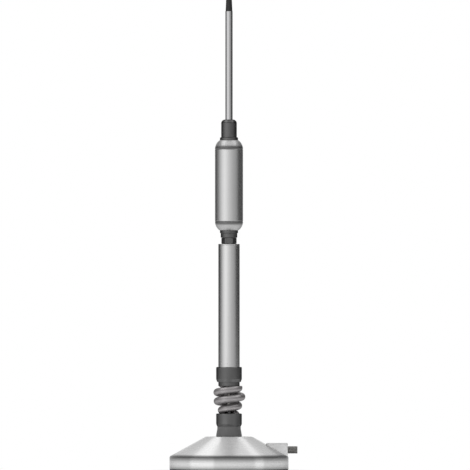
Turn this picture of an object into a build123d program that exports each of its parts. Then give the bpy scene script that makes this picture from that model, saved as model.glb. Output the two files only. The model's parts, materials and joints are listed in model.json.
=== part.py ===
from build123d import *
import math
import os

os.makedirs("parts", exist_ok=True)

# A mobile CB antenna on a magnet base: a base-fed mast, a barrel spring at its foot that lets
# it give way, a loading coil at its centre and a short whip that slides in its ferrule for tuning.
# The origin is on the antenna's axis, on the underside of the rubber pad. +Z is up the mast,
# +X points out of the coaxial jack. All sizes are in millimetres.

# Fits, each a gap between two radii or two faces
press_gap = 0.02
fit_gap = 0.05
whip_gap = 0.06
seat_gap = 0.1

# Magnet base, outside
base_diameter = 125.0
pad_thickness = 2.0
pad_setback = 0.3
shoulder_height = 15.3
crown_height = 36.2
crown_diameter = 49.0
shell_thickness = 1.6
shoulder_fillet = 1.3
crown_fillet = 3.0

# Magnet system inside the base
magnet_height = 8.5
yoke_plate = 3.5
yoke_rim = 3.4
yoke_chamfer = 1.2
pole_gap = 3.0
pole_core_diameter = 40.0
core_screw_diameter = 5.0
core_screw_head = 9.4
core_screw_grip = 2.6

# Housing and coaxial jack on the base's slope
housing_above_jack = 7.1
housing_width = 20.0
housing_wall = 1.6
housing_edge = 1.0
housing_nose = 1.2
jack_height = 22.2
jack_thread = 8.0
jack_reach = 10.2
jack_relief = 0.5
jack_relief_diameter = 7.0
jack_shoulder = 8.6
jack_bore = 5.4
jack_flange = 10.4
jack_flange_thickness = 2.0
jack_tail_diameter = 7.4
jack_tail = 3.6
jack_recess = 0.6
jack_chamfer = 0.4
contact_diameter = 1.3
contact_tail = 3.0
contact_socket = 0.7
contact_socket_depth = 3.0
housing_screw_drop = 5.34
housing_screw_offset = 6.4
housing_screw = 2.5
housing_screw_head = 4.4
housing_screw_head_height = 1.5
housing_screw_grip = 2.4
housing_boss = 4.6

# Feed lead from the jack to the antenna stud
lead_diameter = 1.8
lead_above_tag_foot = 2.7
lead_straight = 12.0
tag_thickness = 0.8
tag_ring = 15.0
tag_width = 5.0
tag_reach = 14.0
tag_drop = 8.0

# Antenna stud and the pieces that insulate it from the base
stud_diameter = 9.525
stud_tip = 2.0
stud_end_gap = 0.3
stud_in_collar = 9.0
nut_flats = 14.3
stud_nut_height = 5.5
washer_diameter = 19.0
washer_thickness = 1.2
insulator_diameter = 22.0
insulator_thickness = 1.5
bush_height = 10.7
bush_foot_diameter = 27.0
bush_waist_diameter = 24.7
bush_foot_land = 1.6
bush_waist_land = 2.6
bush_spigot_diameter = 14.0
bush_spigot_past = 1.0

# Collars above and below the spring
collar_diameter = 27.0
collar_edge = 0.6
lower_collar_height = 13.5
lower_collar_bevel = 2.4
lower_collar_foot_diameter = 24.8
upper_collar_height = 15.7
upper_collar_bevel = 3.0
upper_collar_foot_diameter = 24.8
upper_neck_height = 4.2
upper_neck_diameter = 22.4
mast_socket_depth = 9.7
spigot_height = 3.5

# Barrel spring and the braid inside it
wire_diameter = 7.8
coil_gap = 1.65
spring_turns = 3.587
ground_depth = 6.4
belly_diameter = 34.4
barrel_end_diameter = 22.6
belly_share = 0.62
barrel_half_share = 0.616
spring_start_angle = -44.3
points_per_turn = 16
braid_diameter = 3.0
braid_socket_depth = 5.0

# Mast
mast_diameter = 22.4
mast_wall = 1.6
mast_top_height = 238.4
plug_lip = 1.2
plug_length = 12.8
grub_diameter = 4.0
grub_socket_flats = 2.0
grub_socket_depth = 1.2
grub_setback = 0.15
collar_grub_drop = 4.6

# Loading coil
lock_nut_height = 6.6
ferrule_diameter = 16.4
lower_ferrule_diameter = 17.4
lower_ferrule_height = 4.5
flange_diameter = 19.0
flange_height = 3.2
flange_edge = 0.5
shank_diameter = 11.0
shank_length = 27.0
coil_stud_in_ferrule = 15.0
coil_stud_below_plug = 1.0
dome_height = 9.5
cover_diameter = 29.5
cover_wall = 1.5
cover_length = 75.6
cap_spigot = 6.0
cap_edge = 0.5
former_diameter = 18.0
winding_wire = 1.8
winding_turns = 15
winding_margin = 7.0

# Whip and the ferrule that holds it
upper_ferrule_height = 18.5
ferrule_round = 3.9
whip_diameter = 7.6
whip_bore_end = 2.0
whip_rest_depth = 31.2
whip_free_length = 113.8
whip_chamfer = 0.4
tip_spigot_diameter = 4.0
tip_spigot_length = 8.0
tip_height = 22.0
tip_top_diameter = 5.4
tip_foot_diameter = 7.2
whip_grub_low = 4.4
whip_grub_pitch = 7.0

# Radii and slope of the base
base_radius = base_diameter / 2
crown_radius = crown_diameter / 2
slope_drop = (crown_height - shoulder_height) / (base_radius - crown_radius)
slope_angle = math.atan(slope_drop)
skirt_inner_radius = base_radius - shell_thickness
housing_top = jack_height + housing_above_jack
housing_screw_radius = crown_radius + (crown_height - housing_top + housing_screw_drop) / slope_drop

# Heights of the stack, from the pad up
yoke_top = pad_thickness + magnet_height + yoke_plate
crown_underside = crown_height - shell_thickness
insulator_bottom = crown_underside - insulator_thickness
washer_bottom = insulator_bottom - washer_thickness
tag_bottom = washer_bottom - tag_thickness
stud_nut_bottom = tag_bottom - stud_nut_height
stud_bottom = stud_nut_bottom - stud_tip
lower_collar_bottom = crown_height + bush_height
spring_bottom = lower_collar_bottom + lower_collar_height
coil_pitch = wire_diameter + coil_gap
spring_height = spring_turns * coil_pitch + wire_diameter - 2 * ground_depth
spring_top = spring_bottom + spring_height
upper_collar_bottom = spring_top + upper_neck_height
upper_collar_top = upper_collar_bottom + upper_collar_height
mast_bottom = upper_collar_top - mast_socket_depth
ferrule_bottom = mast_top_height + lock_nut_height
lower_cap_bottom = ferrule_bottom + lower_ferrule_height + flange_height
cover_bottom = lower_cap_bottom + dome_height
cover_top = cover_bottom + cover_length
upper_cap_top = cover_top + dome_height
ferrule_head_bottom = upper_cap_top + flange_height
ferrule_top = ferrule_head_bottom + upper_ferrule_height
former_bottom = cover_bottom + cap_spigot
former_top = cover_top - cap_spigot
whip_bottom = ferrule_top - whip_rest_depth
whip_top = ferrule_top + whip_free_length

# Radii that follow from the fits
stud_hole_radius = stud_diameter / 2 + fit_gap
bush_spigot_radius = bush_spigot_diameter / 2
collar_radius = collar_diameter / 2
mast_radius = mast_diameter / 2
mast_inner_radius = mast_radius - mast_wall
cover_radius = cover_diameter / 2
cover_inner_radius = cover_radius - cover_wall
wire_radius = wire_diameter / 2
shank_radius = shank_diameter / 2
grub_radius = grub_diameter / 2
whip_bore_radius = whip_diameter / 2 + whip_gap


def shell_outline(grow):
    """Half section of the base's outer form, filled to the axis, with its slope raised by grow."""
    rise = grow / math.cos(slope_angle)
    return [
        (0, pad_thickness),
        (base_radius, pad_thickness),
        (base_radius, shoulder_height + rise),
        (crown_radius, crown_height + rise),
        (0, crown_height + rise),
    ]


def slope_height(radius):
    """Height of the base's slope at a distance from the axis."""
    return crown_height - slope_drop * (radius - crown_radius)


def radius_under_slope(height):
    """Distance from the axis at which the underside of the slope is at a height."""
    underside_height = crown_height - shell_thickness / math.cos(slope_angle)
    return crown_radius + (underside_height - height) / slope_drop


def half_section(points):
    """Half section of a turned piece, from its corners given as radius and height."""
    with BuildSketch(Plane.XZ) as section:
        with BuildLine():
            Polyline(*points, close=True)
        make_face()
    return section.sketch


def hexagon(plane, flats):
    """Hexagon on a plane, by its width across flats."""
    with BuildSketch(plane) as outline:
        RegularPolygon(radius=flats / 2, side_count=6, major_radius=False, rotation=30)
    return outline.sketch


def nut_section(bottom, flats, height):
    """Half section that turns a nut's corners off at 30 degrees on both faces."""
    corner_radius = flats / 2 / math.cos(math.radians(30))
    bevel = (corner_radius - flats / 2) * math.tan(math.radians(30))
    return half_section(
        [
            (0, bottom),
            (flats / 2, bottom),
            (corner_radius, bottom + bevel),
            (corner_radius, bottom + height - bevel),
            (flats / 2, bottom + height),
            (0, bottom + height),
        ]
    )


def radial_plane(height, radius):
    """Plane square to the back of the mast, facing outwards along +Y."""
    return Plane(origin=(0, radius, height), x_dir=(1, 0, 0), z_dir=(0, 1, 0))


def disc(plane, radius):
    """Disc on a plane."""
    with BuildSketch(plane) as outline:
        Circle(radius)
    return outline.sketch


# Rubber pad under the base, glued to the magnet and the yoke; the roof touches only this
with BuildPart() as rubber_pad:
    with BuildSketch():
        Circle(base_radius - pad_setback)
    extrude(amount=pad_thickness)
    chamfer(rubber_pad.faces().sort_by(Axis.Z)[0].edges(), length=pad_thickness / 4)
rubber_pad.part.label = "rubber_pad"
export_step(rubber_pad.part, "parts/rubber_pad.step")


# Steel yoke cup: it carries the magnet's flux out to a rim round the edge of the base
with BuildPart() as yoke_cup:
    yoke_radius = skirt_inner_radius - press_gap
    with BuildSketch(Plane.XY.offset(pad_thickness)):
        Circle(yoke_radius)
    extrude(amount=yoke_top - pad_thickness)
    chamfer(yoke_cup.faces().sort_by(Axis.Z)[-1].edges(), length=yoke_chamfer)
    with BuildSketch(Plane.XY.offset(pad_thickness)):
        Circle(yoke_radius - yoke_rim)
    extrude(amount=magnet_height, mode=Mode.SUBTRACT)
    with Locations((0, 0, yoke_top)):
        Hole(radius=core_screw_diameter / 2)
yoke_cup.part.label = "yoke_cup"
export_step(yoke_cup.part, "parts/yoke_cup.step")


# Ceramic ring magnet, magnetised through its height
with BuildPart() as ring_magnet:
    with BuildSketch(Plane.XY.offset(pad_thickness)):
        Circle(yoke_radius - yoke_rim - pole_gap)
        Circle(pole_core_diameter / 2 + pole_gap, mode=Mode.SUBTRACT)
    extrude(amount=magnet_height)
ring_magnet.part.label = "ring_magnet"
export_step(ring_magnet.part, "parts/ring_magnet.step")


# Steel pole core at the centre of the ring, countersunk from below for its screw
with BuildPart() as pole_core:
    with BuildSketch(Plane.XY.offset(pad_thickness)):
        Circle(pole_core_diameter / 2)
    extrude(amount=magnet_height)
    with Locations(Plane.XY.offset(pad_thickness).rotated((180, 0, 0))):
        CounterSinkHole(
            radius=core_screw_diameter / 2,
            counter_sink_radius=core_screw_head / 2,
            counter_sink_angle=90,
        )
pole_core.part.label = "pole_core"
export_step(pole_core.part, "parts/pole_core.step")


# Countersunk screw that pulls the pole core up against the yoke
with BuildPart() as core_screw:
    core_screw_radius = core_screw_diameter / 2 - fit_gap
    core_head_radius = core_screw_head / 2 - fit_gap
    profile = half_section(
        [
            (0, pad_thickness),
            (core_head_radius, pad_thickness),
            (core_screw_radius, pad_thickness + core_head_radius - core_screw_radius),
            (core_screw_radius, pad_thickness + magnet_height + core_screw_grip),
            (0, pad_thickness + magnet_height + core_screw_grip),
        ]
    )
    revolve(profile, axis=Axis.Z)
core_screw.part.label = "core_screw"
export_step(core_screw.part, "parts/core_screw.step")


# Planes on the slope of the base for the two screws that hold the jack housing
housing_screw_planes = []
for side in (-1, 1):
    turn = side * math.asin(housing_screw_offset / housing_screw_radius)
    outward = (
        math.sin(slope_angle) * math.cos(turn),
        math.sin(slope_angle) * math.sin(turn),
        math.cos(slope_angle),
    )
    place = (
        housing_screw_radius * math.cos(turn),
        housing_screw_radius * math.sin(turn),
        slope_height(housing_screw_radius),
    )
    housing_screw_planes.append(Plane(origin=place, z_dir=outward))

# The housing's flat end stands where its corners meet the rim of the slope
housing_face = math.sqrt(base_radius**2 - (housing_width / 2) ** 2)
jack_inner_face = housing_face - housing_wall
jack_flange_inner = jack_inner_face - jack_flange_thickness
jack_tail_end = jack_flange_inner - jack_tail
jack_end = housing_face + jack_reach
contact_end = jack_tail_end - contact_tail
jack_axis = Axis((0, 0, jack_height), (1, 0, 0))
lead_window_width = jack_tail_diameter + 4 * seat_gap
lead_window_inner = radius_under_slope(jack_height + lead_diameter)


# Spun metal shell: skirt, slope and flat crown in one sheet, pressed over the yoke
with BuildPart() as base_shell:
    revolve(half_section(shell_outline(0)), axis=Axis.Z)
    rings = base_shell.edges().filter_by(GeomType.CIRCLE).sort_by(Axis.Z)
    fillet(rings[1], radius=shoulder_fillet)
    rings = base_shell.edges().filter_by(GeomType.CIRCLE).sort_by(Axis.Z)
    fillet(rings[-1], radius=crown_fillet)
    underside = base_shell.faces().sort_by(Axis.Z)[0]
    offset(amount=-shell_thickness, openings=underside)
    with Locations((0, 0, crown_height)):
        Hole(radius=bush_spigot_radius + seat_gap)
    with Locations(*housing_screw_planes):
        Hole(radius=housing_screw / 2 + seat_gap, depth=2 * shell_thickness)
    with BuildSketch(Plane.XY.offset(crown_height)):
        with Locations(((lead_window_inner + jack_flange_inner) / 2, 0)):
            Rectangle(jack_flange_inner - lead_window_inner, lead_window_width)
    extrude(amount=-crown_height, mode=Mode.SUBTRACT)
    with BuildSketch(Plane.XZ):
        with BuildLine():
            Polyline(
                (jack_flange_inner - seat_gap, jack_height),
                (jack_flange_inner - seat_gap, jack_height + jack_flange / 2 + fit_gap),
                (jack_inner_face, jack_height + jack_flange / 2 + fit_gap),
                (jack_inner_face, jack_height + jack_shoulder / 2 + fit_gap),
                (jack_end, jack_height + jack_shoulder / 2 + fit_gap),
                (jack_end, jack_height),
                close=True,
            )
        make_face()
    revolve(axis=jack_axis, mode=Mode.SUBTRACT)
base_shell.part.label = "base_shell"
export_step(base_shell.part, "parts/base_shell.step")


# Wedge-shaped jack housing, seated on the slope, with two screw bosses in its corners
with BuildPart() as jack_housing:
    housing_nose_x = crown_radius + (crown_height - housing_top + housing_nose) / slope_drop
    with BuildSketch(Plane.XZ):
        with BuildLine():
            Polyline(
                (housing_nose_x, housing_top),
                (housing_face, housing_top),
                (housing_face, pad_thickness),
                (housing_nose_x, pad_thickness),
                close=True,
            )
        make_face()
    extrude(amount=housing_width / 2, both=True)
    upper_edges = jack_housing.faces().sort_by(Axis.Z)[-1].edges().sort_by(Axis.X)[1:]
    upright_edges = jack_housing.edges().filter_by(Axis.Z).group_by(Axis.X)[-1]
    fillet(upper_edges + upright_edges, radius=housing_edge)
    with BuildSketch(Plane.XZ):
        with BuildLine():
            Polyline(
                (housing_nose_x + housing_wall, housing_top - housing_wall),
                (housing_face - housing_wall, housing_top - housing_wall),
                (housing_face - housing_wall, pad_thickness),
                (housing_nose_x + housing_wall, pad_thickness),
                close=True,
            )
        make_face()
    extrude(amount=housing_width / 2 - housing_wall, both=True, mode=Mode.SUBTRACT)
    boss_reach = (housing_screw_drop - housing_wall) / math.cos(slope_angle)
    for plane in housing_screw_planes:
        with BuildSketch(plane):
            Circle(housing_boss / 2)
        extrude(amount=boss_reach)
    revolve(half_section(shell_outline(fit_gap)), axis=Axis.Z, mode=Mode.SUBTRACT)
    with Locations(*housing_screw_planes):
        Hole(radius=housing_screw / 2, depth=housing_screw_grip + seat_gap)
    with Locations(Plane(origin=(housing_face, 0, jack_height), z_dir=(1, 0, 0))):
        Hole(radius=jack_shoulder / 2 + press_gap, depth=2 * housing_wall)
jack_housing.part.label = "jack_housing"
export_step(jack_housing.part, "parts/jack_housing.step")


# Two pan-head screws that go up through the slope into the housing's bosses
with BuildPart() as housing_screws:
    for plane in housing_screw_planes:
        head_face = plane.offset(-shell_thickness - seat_gap)
        with BuildSketch(head_face):
            Circle(housing_screw_head / 2)
        extrude(amount=-housing_screw_head_height)
        with BuildSketch(head_face):
            Circle(housing_screw / 2 - fit_gap)
        extrude(amount=shell_thickness + seat_gap + housing_screw_grip)
housing_screws.part.label = "housing_screws"
export_step(housing_screws.part, "parts/housing_screws.step")


# Coaxial jack, body: its shoulder fills the hole in the housing, its flange is soldered inside,
# and a relief groove ends the thread of the barrel outside
with BuildPart() as jack_body:
    thread_top = jack_height + jack_thread / 2
    with BuildSketch(Plane.XZ):
        with BuildLine():
            Polyline(
                (jack_tail_end, jack_height + jack_bore / 2),
                (jack_tail_end, jack_height + jack_tail_diameter / 2),
                (jack_flange_inner, jack_height + jack_tail_diameter / 2),
                (jack_flange_inner, jack_height + jack_flange / 2),
                (jack_inner_face, jack_height + jack_flange / 2),
                (jack_inner_face, jack_height + jack_shoulder / 2),
                (housing_face, jack_height + jack_shoulder / 2),
                (housing_face, jack_height + jack_relief_diameter / 2),
                (housing_face + jack_relief, jack_height + jack_relief_diameter / 2),
                (housing_face + jack_relief, thread_top),
                (jack_end - jack_chamfer, thread_top),
                (jack_end, thread_top - jack_chamfer),
                (jack_end, jack_height + jack_bore / 2),
                close=True,
            )
        make_face()
    revolve(axis=jack_axis)
jack_body.part.label = "jack_body"
export_step(jack_body.part, "parts/jack_body.step")


# Coaxial jack, insulator sleeve
with BuildPart() as jack_insulator:
    with BuildSketch(Plane.YZ.offset(jack_tail_end)):
        with Locations((0, jack_height)):
            Circle(jack_bore / 2 - press_gap)
            Circle(contact_diameter / 2 + press_gap, mode=Mode.SUBTRACT)
    extrude(amount=jack_end - jack_recess - jack_tail_end)
jack_insulator.part.label = "jack_insulator"
export_step(jack_insulator.part, "parts/jack_insulator.step")


# Coaxial jack, centre contact with its socket
with BuildPart() as jack_contact:
    with BuildSketch(Plane.YZ.offset(contact_end)):
        with Locations((0, jack_height)):
            Circle(contact_diameter / 2)
    extrude(amount=jack_end - jack_recess - contact_end)
    with Locations(Plane(origin=(jack_end - jack_recess, 0, jack_height), z_dir=(1, 0, 0))):
        Hole(radius=contact_socket / 2, depth=contact_socket_depth)
jack_contact.part.label = "jack_contact"
export_step(jack_contact.part, "parts/jack_contact.step")


# Solder tag: a ring under the stud's nut, with a tail that turns down to meet the lead
with BuildPart() as feed_tag:
    with BuildSketch(Plane.XY.offset(tag_bottom)):
        Circle(tag_ring / 2)
        with Locations((tag_reach / 2, 0)):
            Rectangle(tag_reach, tag_width)
        Circle(stud_hole_radius, mode=Mode.SUBTRACT)
    extrude(amount=tag_thickness)
    with BuildSketch(Plane.XY.offset(tag_bottom)):
        with Locations((tag_reach - tag_thickness / 2, 0)):
            Rectangle(tag_thickness, tag_width)
    extrude(amount=-tag_drop)
feed_tag.part.label = "feed_tag"
export_step(feed_tag.part, "parts/feed_tag.step")


# Feed lead: from the jack's contact, through the window in the slope, up to the tag
with BuildPart() as feed_lead:
    lead_end_height = tag_bottom - tag_drop + lead_above_tag_foot
    lead_bend = 5 * lead_diameter
    with BuildLine() as lead_route:
        FilletPolyline(
            (contact_end, 0, jack_height),
            (contact_end - lead_straight, 0, jack_height),
            (tag_reach + lead_straight, 0, lead_end_height),
            (tag_reach, 0, lead_end_height),
            radius=lead_bend,
        )
    with BuildSketch(Plane(origin=lead_route.line @ 0, z_dir=lead_route.line % 0)):
        Circle(lead_diameter / 2)
    sweep()
feed_lead.part.label = "feed_lead"
export_step(feed_lead.part, "parts/feed_lead.step")


# Insulating washer on the underside of the crown
with BuildPart() as insulating_washer:
    with BuildSketch(Plane.XY.offset(insulator_bottom)):
        Circle(insulator_diameter / 2)
        Circle(bush_spigot_radius + seat_gap, mode=Mode.SUBTRACT)
    extrude(amount=insulator_thickness)
insulating_washer.part.label = "insulating_washer"
export_step(insulating_washer.part, "parts/insulating_washer.step")


# Steel washer between the insulating washer and the tag
with BuildPart() as stud_washer:
    with BuildSketch(Plane.XY.offset(washer_bottom)):
        Circle(washer_diameter / 2)
        Circle(stud_hole_radius, mode=Mode.SUBTRACT)
    extrude(amount=washer_thickness)
stud_washer.part.label = "stud_washer"
export_step(stud_washer.part, "parts/stud_washer.step")


# Nut that clamps the whole stack to the crown
with BuildPart() as stud_nut:
    extrude(hexagon(Plane.XY.offset(stud_nut_bottom), nut_flats), amount=stud_nut_height)
    corners = nut_section(stud_nut_bottom, nut_flats, stud_nut_height)
    revolve(corners, axis=Axis.Z, mode=Mode.INTERSECT)
    with Locations((0, 0, tag_bottom)):
        Hole(radius=stud_hole_radius)
stud_nut.part.label = "stud_nut"
export_step(stud_nut.part, "parts/stud_nut.step")


# Antenna stud, threaded from end to end
with BuildPart() as antenna_stud:
    stud_top = lower_collar_bottom + stud_in_collar
    with BuildSketch(Plane.XY.offset(stud_bottom)):
        Circle(stud_diameter / 2)
    extrude(amount=stud_top - stud_bottom)
    chamfer(antenna_stud.edges().filter_by(GeomType.CIRCLE), length=stud_diameter / 12)
antenna_stud.part.label = "antenna_stud"
export_step(antenna_stud.part, "parts/antenna_stud.step")


# Flared insulating bush that the antenna stands on; its spigot lines the hole in the crown
with BuildPart() as stud_bush:
    profile = half_section(
        [
            (stud_hole_radius, insulator_bottom + bush_spigot_past / 2),
            (bush_spigot_radius, insulator_bottom + bush_spigot_past / 2),
            (bush_spigot_radius, crown_height),
            (bush_foot_diameter / 2, crown_height),
            (bush_foot_diameter / 2, crown_height + bush_foot_land),
            (bush_waist_diameter / 2, lower_collar_bottom - bush_waist_land),
            (bush_waist_diameter / 2, lower_collar_bottom),
            (stud_hole_radius, lower_collar_bottom),
        ]
    )
    revolve(profile, axis=Axis.Z)
stud_bush.part.label = "stud_bush"
export_step(stud_bush.part, "parts/stud_bush.step")


# Shape of the barrel spring: the radius of the wire's centreline at a height
belly_height = spring_bottom + belly_share * spring_height
barrel_half_height = barrel_half_share * spring_height
coil_start_height = spring_bottom + wire_radius - ground_depth


def coil_radius(height):
    """Swells as a squared cosine from the barrel's ends to its belly."""
    away = min(abs(height - belly_height) / barrel_half_height, 1)
    swell = math.cos(math.pi / 2 * away) ** 2
    outer = barrel_end_diameter / 2 + (belly_diameter - barrel_end_diameter) / 2 * swell
    return outer - wire_radius


def coil_point(turns):
    """Point of the wire's centreline, a number of turns from its lower end."""
    height = coil_start_height + coil_pitch * turns
    angle = math.radians(spring_start_angle) + 2 * math.pi * turns
    radius = coil_radius(height)
    return (radius * math.cos(angle), radius * math.sin(angle), height)


coil_end_height = coil_start_height + coil_pitch * spring_turns
lower_spigot_radius = coil_radius(coil_start_height) - wire_radius - 2 * seat_gap
upper_spigot_radius = coil_radius(coil_end_height) - wire_radius - 2 * seat_gap
braid_socket_radius = braid_diameter / 2 + press_gap


# Lower collar: screws onto the stud and carries the foot of the spring
with BuildPart() as lower_collar:
    profile = half_section(
        [
            (0, lower_collar_bottom),
            (lower_collar_foot_diameter / 2, lower_collar_bottom),
            (collar_radius, lower_collar_bottom + lower_collar_bevel),
            (collar_radius, spring_bottom - collar_edge),
            (collar_radius - collar_edge, spring_bottom),
            (lower_spigot_radius, spring_bottom),
            (lower_spigot_radius, spring_bottom + spigot_height),
            (0, spring_bottom + spigot_height),
        ]
    )
    revolve(profile, axis=Axis.Z)
    with Locations((0, 0, lower_collar_bottom)):
        Hole(radius=stud_hole_radius, depth=stud_in_collar + stud_end_gap)
    with Locations((0, 0, spring_bottom + spigot_height)):
        Hole(radius=braid_socket_radius, depth=braid_socket_depth)
lower_collar.part.label = "lower_collar"
export_step(lower_collar.part, "parts/lower_collar.step")


# Barrel spring: round wire wound on a swelling helix, both ends ground flat
with BuildPart() as barrel_spring:
    coil_steps = math.ceil(spring_turns * points_per_turn)
    with BuildLine() as coil_line:
        Spline(*[coil_point(spring_turns * step / coil_steps) for step in range(coil_steps + 1)])
    with BuildSketch(Plane(origin=coil_line.line @ 0, z_dir=coil_line.line % 0)):
        Circle(wire_radius)
    sweep(is_frenet=True)
    with BuildSketch(Plane.XY.offset(spring_bottom)):
        Circle(belly_diameter)
    extrude(amount=spring_height, mode=Mode.INTERSECT)
barrel_spring.part.label = "barrel_spring"
export_step(barrel_spring.part, "parts/barrel_spring.step")


# Copper braid down the middle of the spring, soldered into both collars
with BuildPart() as spring_braid:
    braid_bottom = spring_bottom + spigot_height - braid_socket_depth
    braid_top = spring_top - spigot_height + braid_socket_depth
    with BuildSketch(Plane.XY.offset(braid_bottom)):
        Circle(braid_diameter / 2)
    extrude(amount=braid_top - braid_bottom)
spring_braid.part.label = "spring_braid"
export_step(spring_braid.part, "parts/spring_braid.step")


# Upper collar: sits on the spring, and the mast stands in its socket
collar_grub_height = upper_collar_top - collar_grub_drop
mast_socket_radius = mast_radius + fit_gap
with BuildPart() as upper_collar:
    profile = half_section(
        [
            (0, spring_top - spigot_height),
            (upper_spigot_radius, spring_top - spigot_height),
            (upper_spigot_radius, spring_top),
            (upper_neck_diameter / 2, spring_top),
            (upper_neck_diameter / 2, upper_collar_bottom),
            (upper_collar_foot_diameter / 2, upper_collar_bottom),
            (collar_radius, upper_collar_bottom + upper_collar_bevel),
            (collar_radius, upper_collar_top - collar_edge),
            (collar_radius - collar_edge, upper_collar_top),
            (mast_socket_radius, upper_collar_top),
            (mast_socket_radius, mast_bottom),
            (0, mast_bottom),
        ]
    )
    revolve(profile, axis=Axis.Z)
    with Locations((0, 0, spring_top - spigot_height)):
        Hole(radius=braid_socket_radius, depth=braid_socket_depth)
    with Locations(radial_plane(collar_grub_height, collar_radius)):
        Hole(radius=grub_radius, depth=collar_radius - mast_radius)
upper_collar.part.label = "upper_collar"
export_step(upper_collar.part, "parts/upper_collar.step")


# Grub screw in the back of the upper collar, against the mast
with BuildPart() as collar_grub:
    grub_length = collar_radius - grub_setback - mast_socket_radius
    grub_inner = radial_plane(collar_grub_height, mast_socket_radius)
    extrude(disc(grub_inner, grub_radius - fit_gap), amount=grub_length)
    socket = hexagon(grub_inner.offset(grub_length), grub_socket_flats)
    extrude(socket, amount=-min(grub_socket_depth, grub_length / 2), mode=Mode.SUBTRACT)
collar_grub.part.label = "collar_grub"
export_step(collar_grub.part, "parts/collar_grub.step")


# Mast tube
with BuildPart() as mast_tube:
    mast_tube_top = mast_top_height - plug_lip
    with BuildSketch(Plane.XY.offset(mast_bottom)):
        Circle(mast_radius)
        Circle(mast_inner_radius, mode=Mode.SUBTRACT)
    extrude(amount=mast_tube_top - mast_bottom)
mast_tube.part.label = "mast_tube"
export_step(mast_tube.part, "parts/mast_tube.step")


# Threaded plug pressed into the top of the mast, its lip covering the tube's end
with BuildPart() as mast_plug:
    plug_radius = mast_inner_radius - press_gap
    profile = half_section(
        [
            (stud_hole_radius, mast_tube_top - plug_length),
            (plug_radius - collar_edge, mast_tube_top - plug_length),
            (plug_radius, mast_tube_top - plug_length + collar_edge),
            (plug_radius, mast_tube_top),
            (mast_radius, mast_tube_top),
            (mast_radius, mast_top_height - plug_lip / 3),
            (mast_radius - plug_lip / 3, mast_top_height),
            (stud_hole_radius, mast_top_height),
        ]
    )
    revolve(profile, axis=Axis.Z)
mast_plug.part.label = "mast_plug"
export_step(mast_plug.part, "parts/mast_plug.step")


# Stud that joins the mast to the loading coil
with BuildPart() as coil_stud:
    coil_stud_bottom = mast_tube_top - plug_length - coil_stud_below_plug
    coil_stud_top = ferrule_bottom + coil_stud_in_ferrule
    with BuildSketch(Plane.XY.offset(coil_stud_bottom)):
        Circle(stud_diameter / 2)
    extrude(amount=coil_stud_top - coil_stud_bottom)
    chamfer(coil_stud.edges().filter_by(GeomType.CIRCLE), length=stud_diameter / 12)
coil_stud.part.label = "coil_stud"
export_step(coil_stud.part, "parts/coil_stud.step")


# Lock nut between the mast and the coil
with BuildPart() as lock_nut:
    extrude(hexagon(Plane.XY.offset(mast_top_height), nut_flats), amount=lock_nut_height)
    corners = nut_section(mast_top_height, nut_flats, lock_nut_height)
    revolve(corners, axis=Axis.Z, mode=Mode.INTERSECT)
    with Locations((0, 0, ferrule_bottom)):
        Hole(radius=stud_hole_radius)
lock_nut.part.label = "lock_nut"
export_step(lock_nut.part, "parts/lock_nut.step")


# Lower ferrule of the coil: a flange outside, a shank up into the former
with BuildPart() as lower_ferrule:
    lower_flange_bottom = ferrule_bottom + lower_ferrule_height
    profile = half_section(
        [
            (0, ferrule_bottom),
            (lower_ferrule_diameter / 2 - flange_edge, ferrule_bottom),
            (lower_ferrule_diameter / 2, ferrule_bottom + flange_edge),
            (lower_ferrule_diameter / 2, lower_flange_bottom),
            (flange_diameter / 2, lower_flange_bottom + flange_edge),
            (flange_diameter / 2, lower_cap_bottom),
            (shank_radius, lower_cap_bottom),
            (shank_radius, lower_cap_bottom + shank_length),
            (0, lower_cap_bottom + shank_length),
        ]
    )
    revolve(profile, axis=Axis.Z)
    with Locations((0, 0, ferrule_bottom)):
        Hole(radius=stud_hole_radius, depth=coil_stud_in_ferrule + stud_end_gap)
lower_ferrule.part.label = "lower_ferrule"
export_step(lower_ferrule.part, "parts/lower_ferrule.step")


def cap_section(flange_end, cover_end):
    """Half section of a domed end cap, from the ferrule's flange into the end of the cover."""
    upwards = 1 if cover_end > flange_end else -1
    spigot_radius = cover_inner_radius - press_gap
    dome_foot = flange_diameter / 2 + cap_edge
    with BuildSketch(Plane.XZ) as section:
        with BuildLine():
            Polyline(
                (cover_radius, cover_end),
                (spigot_radius, cover_end),
                (spigot_radius, cover_end + upwards * cap_spigot),
                (shank_radius + fit_gap, cover_end + upwards * cap_spigot),
                (shank_radius + fit_gap, flange_end),
                (dome_foot, flange_end),
            )
            TangentArc((cover_radius, cover_end), (dome_foot, flange_end), tangent=(0, -upwards))
        make_face()
    return section.sketch


# Lower cap of the loading coil
with BuildPart() as coil_lower_cap:
    revolve(cap_section(lower_cap_bottom, cover_bottom), axis=Axis.Z)
coil_lower_cap.part.label = "coil_lower_cap"
export_step(coil_lower_cap.part, "parts/coil_lower_cap.step")


# Upper cap of the loading coil
with BuildPart() as coil_upper_cap:
    revolve(cap_section(upper_cap_top, cover_top), axis=Axis.Z)
coil_upper_cap.part.label = "coil_upper_cap"
export_step(coil_upper_cap.part, "parts/coil_upper_cap.step")


# Cover tube of the loading coil
with BuildPart() as coil_cover:
    with BuildSketch(Plane.XY.offset(cover_bottom)):
        Circle(cover_radius)
        Circle(cover_inner_radius, mode=Mode.SUBTRACT)
    extrude(amount=cover_length)
coil_cover.part.label = "coil_cover"
export_step(coil_cover.part, "parts/coil_cover.step")


# Insulating former that the coil is wound on; it joins the two ferrules
with BuildPart() as coil_former:
    with BuildSketch(Plane.XY.offset(former_bottom)):
        Circle(former_diameter / 2)
        Circle(shank_radius + fit_gap, mode=Mode.SUBTRACT)
    extrude(amount=former_top - former_bottom)
coil_former.part.label = "coil_former"
export_step(coil_former.part, "parts/coil_former.step")


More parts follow.
